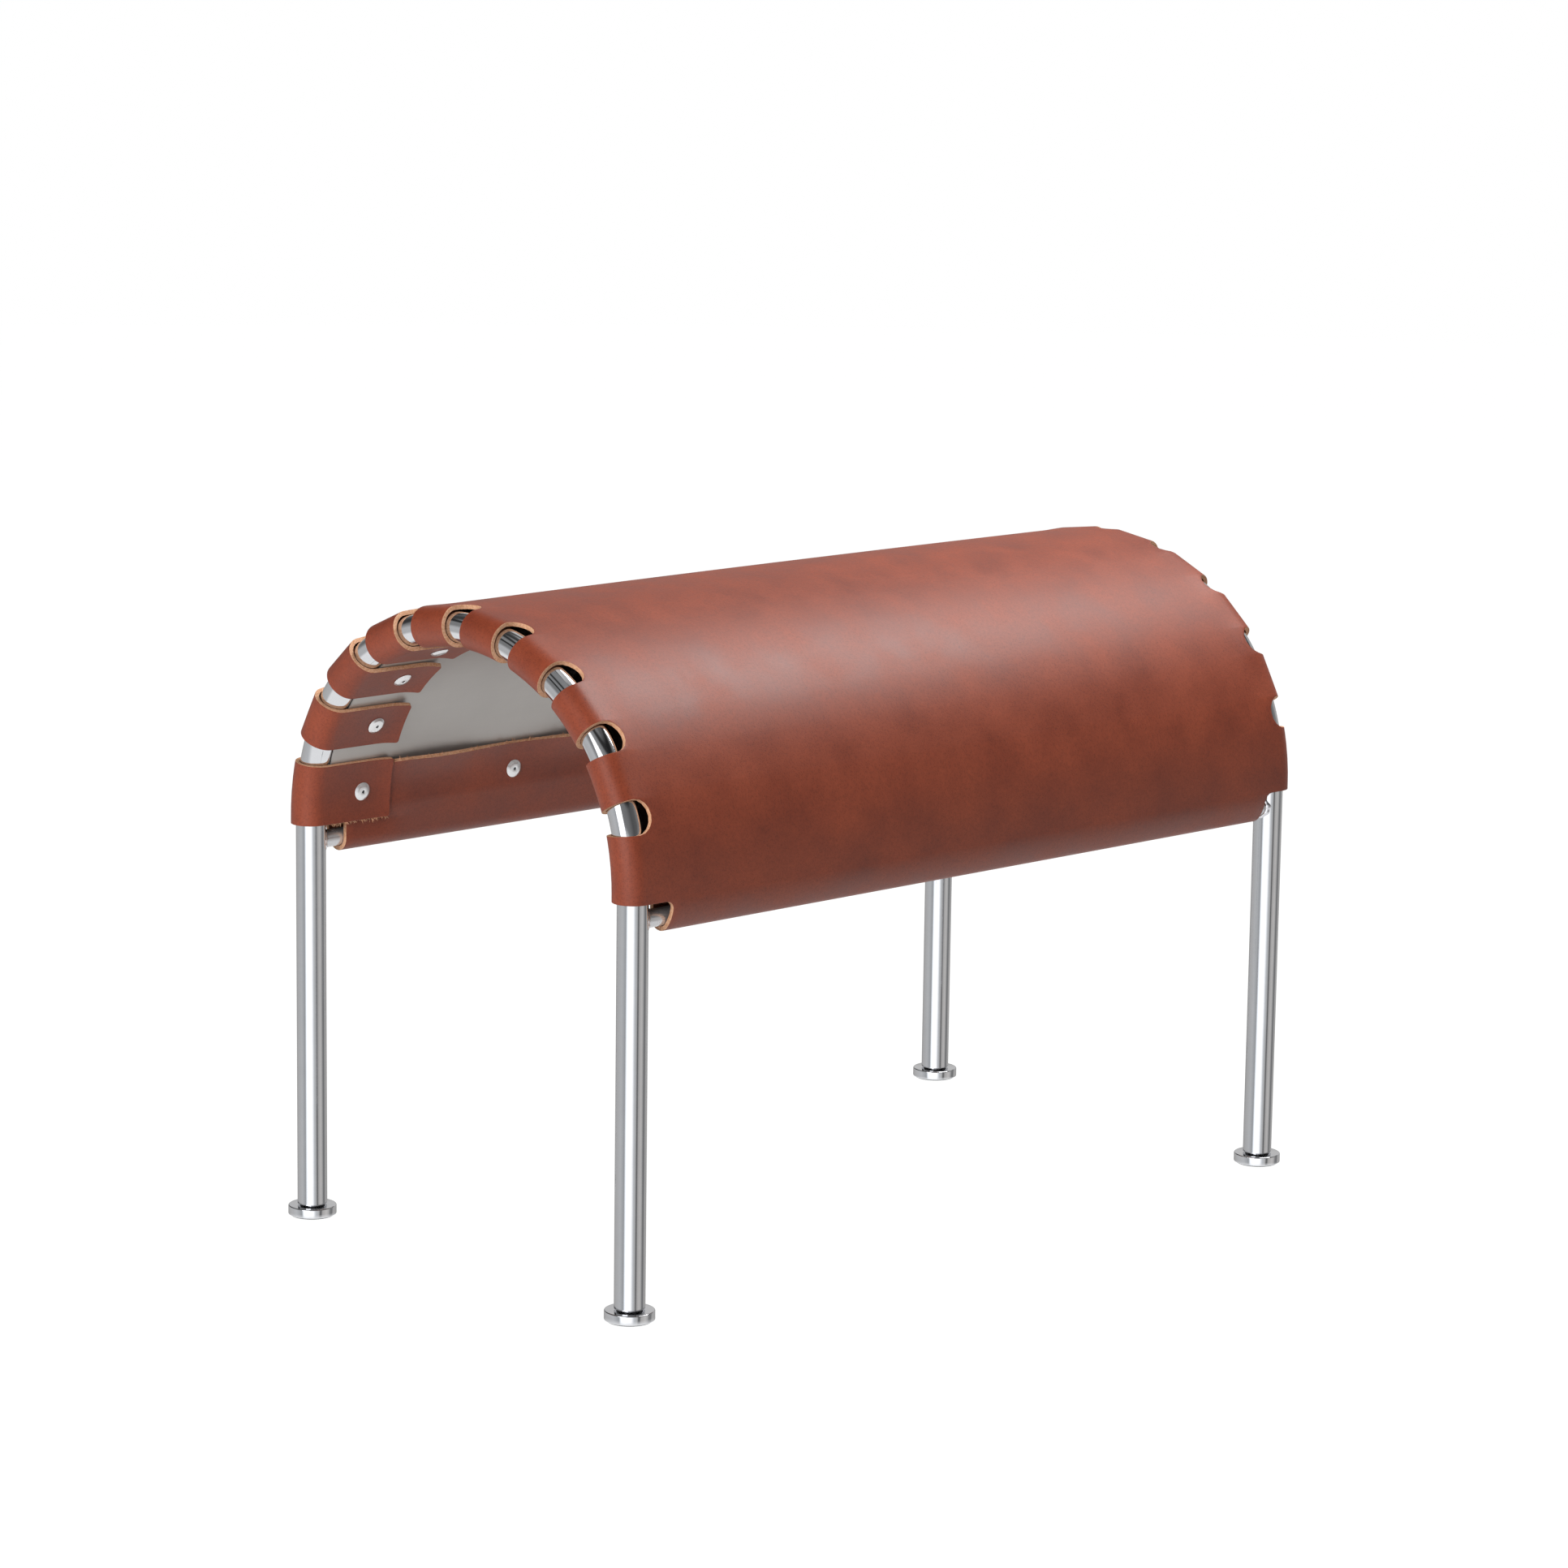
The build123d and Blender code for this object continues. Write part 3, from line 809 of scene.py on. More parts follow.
@dataclass
class Liner:
    """The bent steel sheet inside the tunnel."""

    thickness: float = 0.0012
    foot_height: float = 0.278
    end_gap: float = 0.0004
    arris: float = 0.00024
    shoulder_steps: int = 26
    crown_steps: int = 32
    cells_along: int = 24

    def build(self, palette: Palette) -> None:
        """Builds the liner and fits it."""
        outer = ARCH.tube_radius - self.thickness
        length = 2 * (ARCH.half_length - sqrt(ARCH.tube_radius ** 2 - outer ** 2) - self.end_gap)
        foot_angle = asin((self.foot_height - ARCH.springing)
                          / (ARCH.shoulder_radius - ARCH.tube_radius))
        reach = ARCH.shoulder_radius - outer
        sheet = Workpiece.grid("liner_sheet", self.cells_along, 1)
        with sheet.editing():
            sheet.select_vertices(lambda place: place.y > 0)
            bpy.ops.mesh.delete(type="VERT")
            bpy.ops.mesh.select_all(action="SELECT")
            bpy.ops.transform.resize(value=(length / GRID_SIDE, 1, 1), center_override=(0, 0, 0))
            bpy.ops.transform.translate(value=(
                0, ARCH.shoulder_offset + reach * cos(foot_angle) + GRID_SIDE / 2,
                ARCH.springing + reach * sin(foot_angle)))
            sheet.spin_over_arch(0.0, ARCH.shoulder_angle - foot_angle, self.shoulder_steps,
                                 self.crown_steps)
        sheet.thicken(self.thickness)
        sheet.close_seams()
        sheet.soften_edges(self.arris)
        sheet.shade()
        sheet.fit("liner_steel", [palette.liner], "liner")


@dataclass(frozen=True)
class Straps:
    """How the hide's straps are set out along the arch."""

    slot_count: int = 9
    width: float = 0.0315
    length: float = 0.0545
    end_width: float = 0.0425
    end_drop: float = 0.0045
    corner_radius: float = 0.002

    @cached_property
    def foot(self) -> float:
        """Run of the lower edge of the end strap."""
        return ARCH.shoulder_foot + self.end_drop

    @cached_property
    def table(self) -> list[tuple[float, float]]:
        """Run of each strap's middle, and half its width, from right to left."""
        pitch = (2 * self.top + self.width) / self.slot_count
        first = pitch * (2 - self.slot_count) / 2
        end_middle = self.foot - self.end_width / 2
        inner = [(first + pitch * index, self.width / 2) for index in range(self.slot_count - 1)]
        return [(-end_middle, self.end_width / 2), *inner, (end_middle, self.end_width / 2)]

    @cached_property
    def last(self) -> int:
        """Number of the last strap."""
        return len(self.table) - 1

    @cached_property
    def top(self) -> float:
        """Run of the upper edge of the end strap."""
        return self.foot - self.end_width

    def edges(self, index: int, offset: float) -> tuple[float, float]:
        """Finds the runs of a strap's two edges at an offset; its width stays true at any offset.

        Args:
            index: Number of the strap from the right.
            offset: Distance out from the hoop's centre line.

        Returns:
            Run of the right edge and of the left edge.
        """
        middle, half = self.table[index]
        radius = ARCH.radius_at(middle)
        reach = half * radius / (radius + offset)
        low = -self.foot if index == 0 else middle - reach
        high = self.foot if index == self.last else middle + reach
        return low, high

    def span(self, row: "Row", offset: float) -> tuple[float, float]:
        """Finds the runs of both sides of a row's strap or slot, at an offset."""
        low, high = self.edges(row.index, offset)
        if row.part is RowPart.STRAP:
            return low, high
        return high, self.edges(row.index + 1, offset)[0]


STRAPS = Straps()


class RowPart(Enum):
    """What a line of the hide's grid crosses."""

    STRAP = auto()
    SLOT = auto()
    SIDE = auto()


@dataclass(frozen=True)
class Row:
    """One line of the hide's grid, from end to end of the stool.

    For a strap, share runs from -1 to 1 across it. For a slot it is the sine of the angle round the
    slot's bottom. For a side, it is the length down from the foot of the straps.
    """

    part: RowPart
    index: int
    share: float


def rounded_corner(past: float, beside: float, end: float, side: float) -> tuple[float, float]:
    """Rounds a corner of the flat hide.

    Args:
        past: A point's place towards the end.
        beside: Its place towards the side.
        end: Where the end lies.
        side: Where the side lies.

    Returns:
        Both places of the point, with the corner rounded.
    """
    corner = STRAPS.corner_radius
    past_share, side_share = (past - end + corner) / corner, (beside - side + corner) / corner
    if past_share <= 0 or side_share <= 0:
        return past, beside
    inwards = max(past_share, side_share) / hypot(past_share, side_share)
    return (end - corner + corner * past_share * inwards,
            side - corner + corner * side_share * inwards)


@dataclass
class LeatherCover:
    """The hide: one sheet, hooked over the hoops by its straps and round the rails by its flaps."""

    thickness: float = 0.003
    clearance: float = 0.0003
    wrap_insets: tuple[float, float] = (0.0225, 0.0175)
    slot_overhangs: tuple[float, float] = (0.0015, 0.0062)
    wrap_corner: float = 0.006
    strip_rise: float = 0.002
    flap_end_gap: float = 0.001
    flap_bend_rise: float = 0.003
    rail_radius: float = Rails.radius
    rail_height: float = Rails.height
    seat_bulge: float = 0.0009
    strap_spring: float = 0.0024
    spring_start: float = 0.038
    flap_spring: float = 0.0045
    least_spring: float = 0.15
    spring_pitch: float = 0.132
    spring_share: float = 0.4
    slit_start: float = 0.012
    slit_blend: float = 0.016
    slit_fade: float = 0.004
    side_cells: tuple[int, ...] = (8, 16, 6, 4, 9)
    column_cells: tuple[int, ...] = (20, 1, 4, 8, 20, 11)
    slot_step: float = radians(22.5)
    slot_steps: int = 3
    strap_shares: tuple[float, ...] = (-1, -0.96, -0.88, -0.81, -0.45, 0, 0.45, 0.81, 0.88, 0.96, 1)
    corner_shares: tuple[float, ...] = (0.62, 0.2, 0)
    arris: float = 0.0002
    arris_angle: float = radians(60)
    sharpest: float = radians(50)

    @cached_property
    def flesh(self) -> float:
        """Offset of the flesh side from the hoop's centre line."""
        return ARCH.tube_radius + self.clearance

    @cached_property
    def middle(self) -> float:
        """Offset of the middle of the hide's thickness from the hoop's centre line."""
        return self.flesh + self.thickness / 2

    @cached_property
    def grain(self) -> float:
        """Offset of the grain side from the hoop's centre line."""
        return self.flesh + self.thickness

    @cached_property
    def foot_height(self) -> float:
        """Height of the straps' foot."""
        return ARCH.springing - STRAPS.end_drop

    def wrap_reach(self, end: End) -> float:
        """Distance from the middle of the stool to the hide's edge round the rails."""
        return ARCH.half_length - self.wrap_insets[end is End.FAR]

    def mouth(self, end: End) -> float:
        """Flat distance from the middle of the hide to the straight part of the slots."""
        return ARCH.half_length + self.slot_overhangs[end is End.FAR]

    @cached_property
    def flap_reach(self) -> float:
        """Half the length of the long flaps."""
        return ARCH.half_length - STRAPS.length - self.flap_end_gap

    @cached_property
    def hook_end(self) -> float:
        """Flat distance from the middle of the hide to a strap's end."""
        return ARCH.half_length + pi * self.grain + STRAPS.length

    @cached_property
    def round_radius(self) -> float:
        """Radius of the grain side round the rail."""
        return self.rail_radius + self.clearance + self.thickness

    @cached_property
    def drop(self) -> float:
        """Height of the straps' foot above the rails."""
        return self.foot_height - self.rail_height

    @cached_property
    def bend_radius(self) -> float:
        """Radius of the grain side between the hoop and the rail."""
        wrap = self.rail_radius + self.clearance
        flesh_bend = (self.flesh ** 2 + self.drop ** 2 - wrap ** 2) / (2 * (self.flesh - wrap))
        return flesh_bend + self.thickness

    @cached_property
    def bend_angle(self) -> float:
        """Angle of that bend, which then runs smoothly on to the rail's round."""
        return asin(self.drop / (self.bend_radius - self.round_radius))

    @cached_property
    def arc_radius(self) -> float:
        """Radius of a long flap's grain side where it lies along the shoulder."""
        return ARCH.shoulder_radius - self.grain

    @cached_property
    def meet_angle(self) -> float:
        """Angle on the shoulder at which a long flap meets it."""
        return asin(self.flap_bend_rise / (ARCH.shoulder_radius - self.flesh))

    @cached_property
    def flap_meet(self) -> tuple[float, float]:
        """Y and Z of the place where a long flap meets the arch, on its grain side."""
        return (ARCH.shoulder_offset + self.arc_radius * cos(self.meet_angle),
                ARCH.springing + self.arc_radius * sin(self.meet_angle))

    @cached_property
    def leave_angle(self) -> float:
        """Angle round the rail at which a long flap leaves it, from +Y upwards."""
        y, z = self.flap_meet
        away = hypot(y - ARCH.half_width, z - self.rail_height)
        return atan2(z - self.rail_height, y - ARCH.half_width) + acos(self.round_radius / away)

    @cached_property
    def bend_length(self) -> float:
        """Length of the hide in the bend."""
        return self.bend_radius * self.bend_angle

    @cached_property
    def round_length(self) -> float:
        """Length of the hide round the rail, up to where the long flap leaves."""
        return self.round_radius * (2 * pi - self.leave_angle - self.bend_angle)

    @cached_property
    def rise_length(self) -> float:
        """Length of the long flap's straight rise."""
        y, z = self.flap_meet
        leave_y, leave_z = self.rail_place(self.leave_angle)
        return hypot(y - leave_y, z - leave_z)

    @cached_property
    def arc_length(self) -> float:
        """Length of the long flap along the shoulder."""
        end = ARCH.shoulder_angle - (STRAPS.top - ARCH.crown_half_arc) / ARCH.shoulder_radius
        return self.arc_radius * (end - self.meet_angle)

    @cached_property
    def slit_top(self) -> float:
        """Length, past the bend, of the upper end of the slit between a long flap and its strip."""
        return self.round_length + self.slit_start

    @cached_property
    def arc_start(self) -> float:
        """Length, past the bend, at which a long flap meets the shoulder."""
        return self.round_length + self.rise_length

    @cached_property
    def flap_end(self) -> float:
        """Length of a long flap, down from the straps' foot and up to its free edge."""
        return self.bend_length + self.arc_start + self.arc_length

    def hook(self, across: float) -> tuple[float, float, float]:
        """Bends the flat hide over the hoop.

        Args:
            across: Flat distance from the middle of the hide, along the tunnel.

        Returns:
            X, the offset from the hoop's centre line, and the turn round the tube from 0 to pi.
        """
        past = across - ARCH.half_length
        if past <= 0:
            return across, self.grain + self.bulge(across), 0.0
        turn = min(past / self.grain, pi)
        beyond = past - turn * self.grain
        free = max(beyond - self.spring_start, 0.0) / (STRAPS.length - self.spring_start)
        lift = self.strap_spring * free ** 2
        return (ARCH.half_length + self.grain * sin(turn) - beyond,
                self.grain * cos(turn) - lift, turn)

    def bulge(self, x: float) -> float:
        """How far the seat bulges between the hoops."""
        return self.seat_bulge * (1 - (x / ARCH.half_length) ** 2)

    def flatness(self, across: float, turn: float) -> float:
        """How flat the hide lies across its straps: 0 on the seat, 1 over the hoop, 0 inside."""
        if across <= ARCH.half_length:
            inset = self.wrap_insets[0]
            return smooth_step((across - ARCH.half_length + inset) / inset)
        return (1 + cos(turn)) / 2

    def edge_rise(self, index: int, offset: float) -> float:
        """How far a strap that lies flat stands off the arch at its edge."""
        middle, half = STRAPS.table[index]
        if index in (0, STRAPS.last):
            return 0.0
        return half ** 2 / (2 * (ARCH.radius_at(middle) + offset))

    def arch_place(self, row: Row, share: float, across: float) -> Vector:
        """Places a point of a strap or slot row on the grain side.

        Args:
            row: The row.
            share: Its share across the strap or slot, changed where a corner is rounded.
            across: Flat distance from the middle of the hide, along the tunnel.

        Returns:
            The point, at the far end.
        """
        x, offset, turn = self.hook(across)
        rise = self.edge_rise(row.index, offset)
        if row.part is RowPart.STRAP:
            rise *= share ** 2
        else:
            rise = blend_of(rise, self.edge_rise(row.index + 1, offset), (1 + share) / 2)
        run = blend_of(*STRAPS.span(row, offset), (1 + share) / 2)
        y, z, _ = ARCH.place(run, offset + rise * self.flatness(across, turn))
        return Vector((x, y, z))

    def side_place(self, length: float, x: float, flap: bool) -> tuple[float, float]:
        """Places a point of the left side on the grain side.

        Args:
            length: Length down from the foot of the straps.
            x: Distance from the middle of the stool.
            flap: Whether the point belongs to the long flap, and not to the strip beside it.

        Returns:
            Y and Z.
        """
        if length <= self.bend_length:
            angle = -length / self.bend_radius
            middle = ARCH.half_width + self.grain - self.bend_radius
            fade = 1 - length / self.bend_length
            return (middle + self.bend_radius * cos(angle) + self.bulge(x) * fade,
                    self.foot_height + self.bend_radius * sin(angle))
        length -= self.bend_length
        strip = self.strip_place(length)
        if not flap:
            return strip
        joined = smooth_step((x - self.flap_reach + self.slit_blend)
                             / (self.slit_blend + self.flap_end_gap))
        joined *= 1 - smooth_step((length - self.slit_top) / self.slit_fade)
        free = self.flap_place(length, x)
        return blend_of(free[0], strip[0], joined), blend_of(free[1], strip[1], joined)

    def rail_place(self, angle: float) -> tuple[float, float]:
        """Places a point of the grain side round the left rail, by its angle from +Y upwards."""
        return (ARCH.half_width + self.round_radius * cos(angle),
                self.rail_height + self.round_radius * sin(angle))

    def strip_place(self, length: float) -> tuple[float, float]:
        """Places a point of the strip beside a long flap, by its length past the bend."""
        if length <= self.round_length:
            return self.rail_place(blend_of(-self.bend_angle, -pi, length / self.round_length))
        rise = min((length - self.round_length) / self.rise_length, 1.0)
        top = ARCH.springing + self.strip_rise
        return ARCH.half_width - self.round_radius, blend_of(self.rail_height, top, rise)

    def flap_place(self, length: float, x: float) -> tuple[float, float]:
        """Places a point of a long flap, by its length past the bend.

        Args:
            length: Length past the bend.
            x: Distance from the middle of the stool, which sets how far the flap springs off.

        Returns:
            Y and Z.
        """
        if length <= self.round_length:
            return self.rail_place(-self.bend_angle - length / self.round_radius)
        if length <= self.arc_start:
            share = (length - self.round_length) / self.rise_length
            y, z = self.flap_meet
            leave_y, leave_z = self.rail_place(self.leave_angle)
            return blend_of(leave_y, y, share), blend_of(leave_z, z, share)
        length -= self.arc_start
        free = max(length / self.arc_length - self.spring_share, 0.0) / (1 - self.spring_share)
        angle = self.meet_angle + length / self.arc_radius
        reach = self.arc_radius - self.flap_lift(x) * free ** 2
        return ARCH.shoulder_offset + reach * cos(angle), ARCH.springing + reach * sin(angle)

    def flap_lift(self, x: float) -> float:
        """How far a long flap's top edge springs off the liner, most between its rivets."""
        wave = sin(pi * x / self.spring_pitch) ** 2
        return self.flap_spring * blend_of(self.least_spring, 1.0, wave)

    def corner_places(self, end: float) -> list[float]:
        """Lists the grid's places in a corner that is rounded, up to an end."""
        return [end - STRAPS.corner_radius * share for share in self.corner_shares]

    @cached_property
    def side_lengths(self) -> list[float]:
        """Lengths below the straps' foot at which a side's rows lie."""
        bend = self.bend_length
        marks = (0.0, bend, bend + self.round_length, bend + self.slit_top, bend + self.arc_start,
                 self.flap_end - STRAPS.corner_radius)
        return steps(marks, self.side_cells) + self.corner_places(self.flap_end)

    @cached_property
    def rows(self) -> list[Row]:
        """Rows of the hide's grid, from right to left."""
        slot_shares = [sin(self.slot_step * step)
                       for step in range(-self.slot_steps, self.slot_steps + 1)]
        rows = [Row(RowPart.SIDE, -1, length) for length in reversed(self.side_lengths)]
        for index in range(len(STRAPS.table)):
            rows += [Row(RowPart.STRAP, index, share) for share in self.strap_shares]
            if index < STRAPS.last:
                rows += [Row(RowPart.SLOT, index, share) for share in slot_shares]
        return rows + [Row(RowPart.SIDE, 1, length) for length in self.side_lengths]

    @cached_property
    def columns(self) -> list[float]:
        """Columns of the hide's grid, as flat distances from its middle, from near to far."""
        near, far = self.half_columns(End.NEAR), self.half_columns(End.FAR)
        return [-place for place in reversed(near[1:])] + far

    def half_columns(self, end: End) -> list[float]:
        """Lists the flat distances of the columns from the middle of the hide to one end."""
        marks = (0.0, self.flap_reach, self.flap_reach + self.flap_end_gap, self.wrap_reach(end),
                 self.mouth(end), ARCH.half_length + pi * self.grain,
                 self.hook_end - STRAPS.corner_radius)
        return [0.0] + steps(marks, self.column_cells) + self.corner_places(self.hook_end)

    def corner_share(self, row: Row, across: float) -> tuple[float, float]:
        """Rounds the corners of a strap's end, as a share across it and a flat distance."""
        half = STRAPS.table[row.index][1]
        across, beside = rounded_corner(across, abs(row.share) * half, self.hook_end, half)
        return copysign(beside / half, row.share), across

    def flap_corner(self, length: float, across: float) -> tuple[float, float]:
        """Rounds the top corners of a long flap, as lengths below the foot."""
        if across > self.flap_reach:
            return length, across
        return rounded_corner(length, across, self.flap_end, self.flap_reach)

    def window_corner(self, length: float, across: float, end: End) -> tuple[float, float]:
        """Rounds the inner corner of the window for the rail's end, as lengths below the foot."""
        corner, wrap = self.wrap_corner, self.wrap_reach(end)
        if length > 0 and across == wrap and length < corner:
            turn = (corner + length) / (2 * corner) * pi / 2
        elif length == 0 and wrap <= across < wrap + corner:
            turn = (corner - (across - wrap)) / (2 * corner) * pi / 2
        else:
            return length, across
        return corner * (1 - cos(turn)), wrap + corner * (1 - sin(turn))

    def point(self, row: Row, column: float) -> tuple[Vector, tuple[float, float]]:
        """Places one vertex of the hide.

        Args:
            row: Its row.
            column: Its column, as a flat distance from the middle of the hide.

        Returns:
            Its place on the grain side, and its place on the flat hide.
        """
        across = abs(column)
        end = End.FAR if column >= 0 else End.NEAR
        wrap = self.wrap_reach(end)
        is_side = row.part is RowPart.SIDE
        is_foot = row in (Row(RowPart.STRAP, 0, -1), Row(RowPart.STRAP, STRAPS.last, 1))
        if is_side or (is_foot and across < wrap + self.wrap_corner):
            side, length = (row.index, row.share) if is_side else (row.share, 0.0)
            length, across = self.window_corner(length, across, end)
            length, across = self.flap_corner(length, across)
            y, z = self.side_place(length, across, across <= self.flap_reach)
            return (Vector((end.value * across, side * y, z)),
                    (end.value * across, side * (STRAPS.foot + length)))
        share = row.share
        if row.part is RowPart.STRAP:
            share, across = self.corner_share(row, across)
        elif across > wrap:
            low, high = STRAPS.span(row, self.grain)
            radius = ARCH.radius_at((low + high) / 2)
            half_gap = (high - low) / 2 * (radius + self.grain) / radius
            mouth = self.mouth(end)
            bottom = mouth - half_gap * sqrt(1 - share ** 2)
            across = blend_of(wrap, bottom, min((across - wrap) / (mouth - wrap), 1.0))
        x, y, z = self.arch_place(row, share, across)
        run = blend_of(*STRAPS.span(row, 0.0), (1 + share) / 2)
        return Vector((end.value * x, y, z)), (end.value * across, run)

    def cut_away(self, low: Row, high: Row, columns: Sequence[float]) -> bool:
        """Tells whether a cell of the grid lies outside the cut hide.

        Args:
            low: The cell's row nearer to the right.
            high: The cell's row nearer to the left.
            columns: The cell's two columns, as flat distances from the middle of the hide.

        Returns:
            Whether the cell is cut away.
        """
        inner, outer = sorted(abs(column) for column in columns)
        end = End.FAR if max(columns, key=abs) >= 0 else End.NEAR
        if RowPart.SLOT in (low.part, high.part):
            return outer > self.mouth(end) + self.arris
        if RowPart.SIDE not in (low.part, high.part):
            return False
        if outer > self.wrap_reach(end) + self.arris:
            return True
        length = max(row.share for row in (low, high) if row.part is RowPart.SIDE)
        above_bend = length - self.bend_length - self.arris
        if above_bend > self.arc_start:
            return outer > self.flap_reach + self.arris
        in_slit = inner > self.flap_reach - self.arris and outer - inner < 2 * self.flap_end_gap
        return in_slit and above_bend > self.slit_top

    def build(self, palette: Palette) -> None:
        """Cuts the flat hide, bends it into place, gives it its thickness and fits it."""
        wide = len(self.columns)
        hide = Workpiece.grid("leather_hide", wide - 1, len(self.rows) - 1)
        mesh = hide.obj.data
        placed = [self.point(row, column) for row in self.rows for column in self.columns]
        for vertex, (place, _) in zip(mesh.vertices, placed):
            vertex.co = place
        layer = mesh.uv_layers[0]
        layer.name = "UVMap"
        for loop in mesh.loops:
            layer.data[loop.index].uv = placed[loop.vertex_index][1]
        hide.take_up()
        bpy.ops.object.mode_set(mode="EDIT")
        bpy.ops.mesh.select_mode(type="FACE")
        bpy.ops.object.mode_set(mode="OBJECT")
        for face in mesh.polygons:
            cell_row, cell_column = divmod(min(face.vertices), wide)
            face.select = self.cut_away(*self.rows[cell_row:cell_row + 2],
                                        self.columns[cell_column:cell_column + 2])
        bpy.ops.object.mode_set(mode="EDIT")
        bpy.ops.mesh.delete(type="FACE")
        bpy.ops.object.mode_set(mode="OBJECT")
        flat_area = sum(face.area for face in mesh.polygons)
        for material in (palette.grain, palette.cut, palette.flesh):
            mesh.materials.append(material)
        hide.thicken(self.thickness, material_offset=2, material_offset_rim=1)
        hide.soften_edges(self.arris, self.arris_angle)
        hide.shade(self.sharpest)
        hide.fit("saddle_leather", [], "leather_cover")
        loose = Fray(self).build(palette)
        width, length = 2 * self.hook_end, 2 * (STRAPS.foot + self.flap_end)
        log.info("hide: %.3f by %.3f m flat, %.4f square metres", width, length, flat_area)


@dataclass
class Fray:
    """The loose fibres on the long flaps' top edges and the end straps' lower edges.

    Depths are shares of the hide's thickness, and the straps' span is a share of their length.
    """

    cover: LeatherCover
    radius: float = 0.0002
    length: float = 0.0036
    curl: float = 0.0011
    profile: Sequence[tuple[float, float]] = ((1, 0), (1, 0.35), (0.8, 0.7), (0, 1))
    sides: int = 4
    shortest: float = 0.35
    seed: int = 11
    flap_count: int = 420
    flap_depth: float = 0.4
    flap_climb: tuple[float, float] = (0.1, 0.8)
    flap_lean: tuple[float, float] = (-0.2, 0.9)
    strap_count: int = 110
    strap_span: tuple[float, float] = (0.1, 1.0)
    strap_depth: float = 0.5
    strap_tilt: tuple[float, float] = (0.1, 0.7)

    def build(self, palette: Palette) -> Workpiece:
        """Builds the fibres as one piece and fits it."""
        fibre = Workpiece.turned("fibre_pattern", [
            (self.radius * width, self.length * height) for width, height in self.profile],
            self.sides)
        fibre.shape(lambda place: place + Vector((
            self.curl * (place.z / self.length) ** 2, 0, 0)))
        loose = fibre.repeated("leather_fray", self.places())
        fibre.discard()
        loose.fit("saddle_leather", [palette.cut])
        return loose

    def places(self) -> Iterator[Matrix]:
        """Gives the place of each fibre, its root in the cut edge."""
        chance = Random(self.seed)
        for side in Side:
            for _ in range(self.flap_count):
                yield self.flap_fibre(chance, side)
            for end in End:
                for _ in range(self.strap_count):
                    yield self.strap_fibre(chance, side, end)

    def flap_fibre(self, chance: Random, side: Side) -> Matrix:
        """Places a fibre on a long flap's top edge."""
        x = chance.uniform(-self.cover.flap_reach, self.cover.flap_reach)
        depth = chance.uniform(-self.flap_depth, self.flap_depth) * self.cover.thickness
        y, z, angle = ARCH.place(side.value * STRAPS.top,
                                 -self.cover.middle - self.cover.flap_lift(x) + depth)
        climb, lean = chance.uniform(*self.flap_climb), chance.uniform(*self.flap_lean)
        way = Vector((chance.uniform(-1, 1), -side.value * abs(sin(angle)) * climb
                      - cos(angle) * lean, abs(cos(angle)) * climb - sin(angle) * lean))
        return self.stood(chance, Vector((x, y, z)), way)

    def strap_fibre(self, chance: Random, side: Side, end: End) -> Matrix:
        """Places a fibre on an end strap's lower edge."""
        x = end.value * (ARCH.half_length - chance.uniform(*self.strap_span) * STRAPS.length)
        depth = chance.uniform(-self.strap_depth, self.strap_depth) * self.cover.thickness
        y = side.value * (ARCH.half_width - self.cover.middle - depth)
        way = Vector((chance.uniform(-1, 1), -side.value * chance.uniform(*self.strap_tilt),
                      -chance.uniform(*self.strap_tilt)))
        return self.stood(chance, Vector((x, y, self.cover.foot_height)), way)

    def stood(self, chance: Random, root: Vector, way: Vector) -> Matrix:
        """Stands a fibre on its root, along a way, with a length of its own."""
        turn = way.to_track_quat("Z", "X").to_matrix().to_4x4()
        size = Matrix.Diagonal((1, 1, chance.uniform(self.shortest, 1.0), 1))
        spin = Matrix.Rotation(chance.uniform(0, 2 * pi), 4, "Z")
        return Matrix.Translation(root) @ turn @ spin @ size


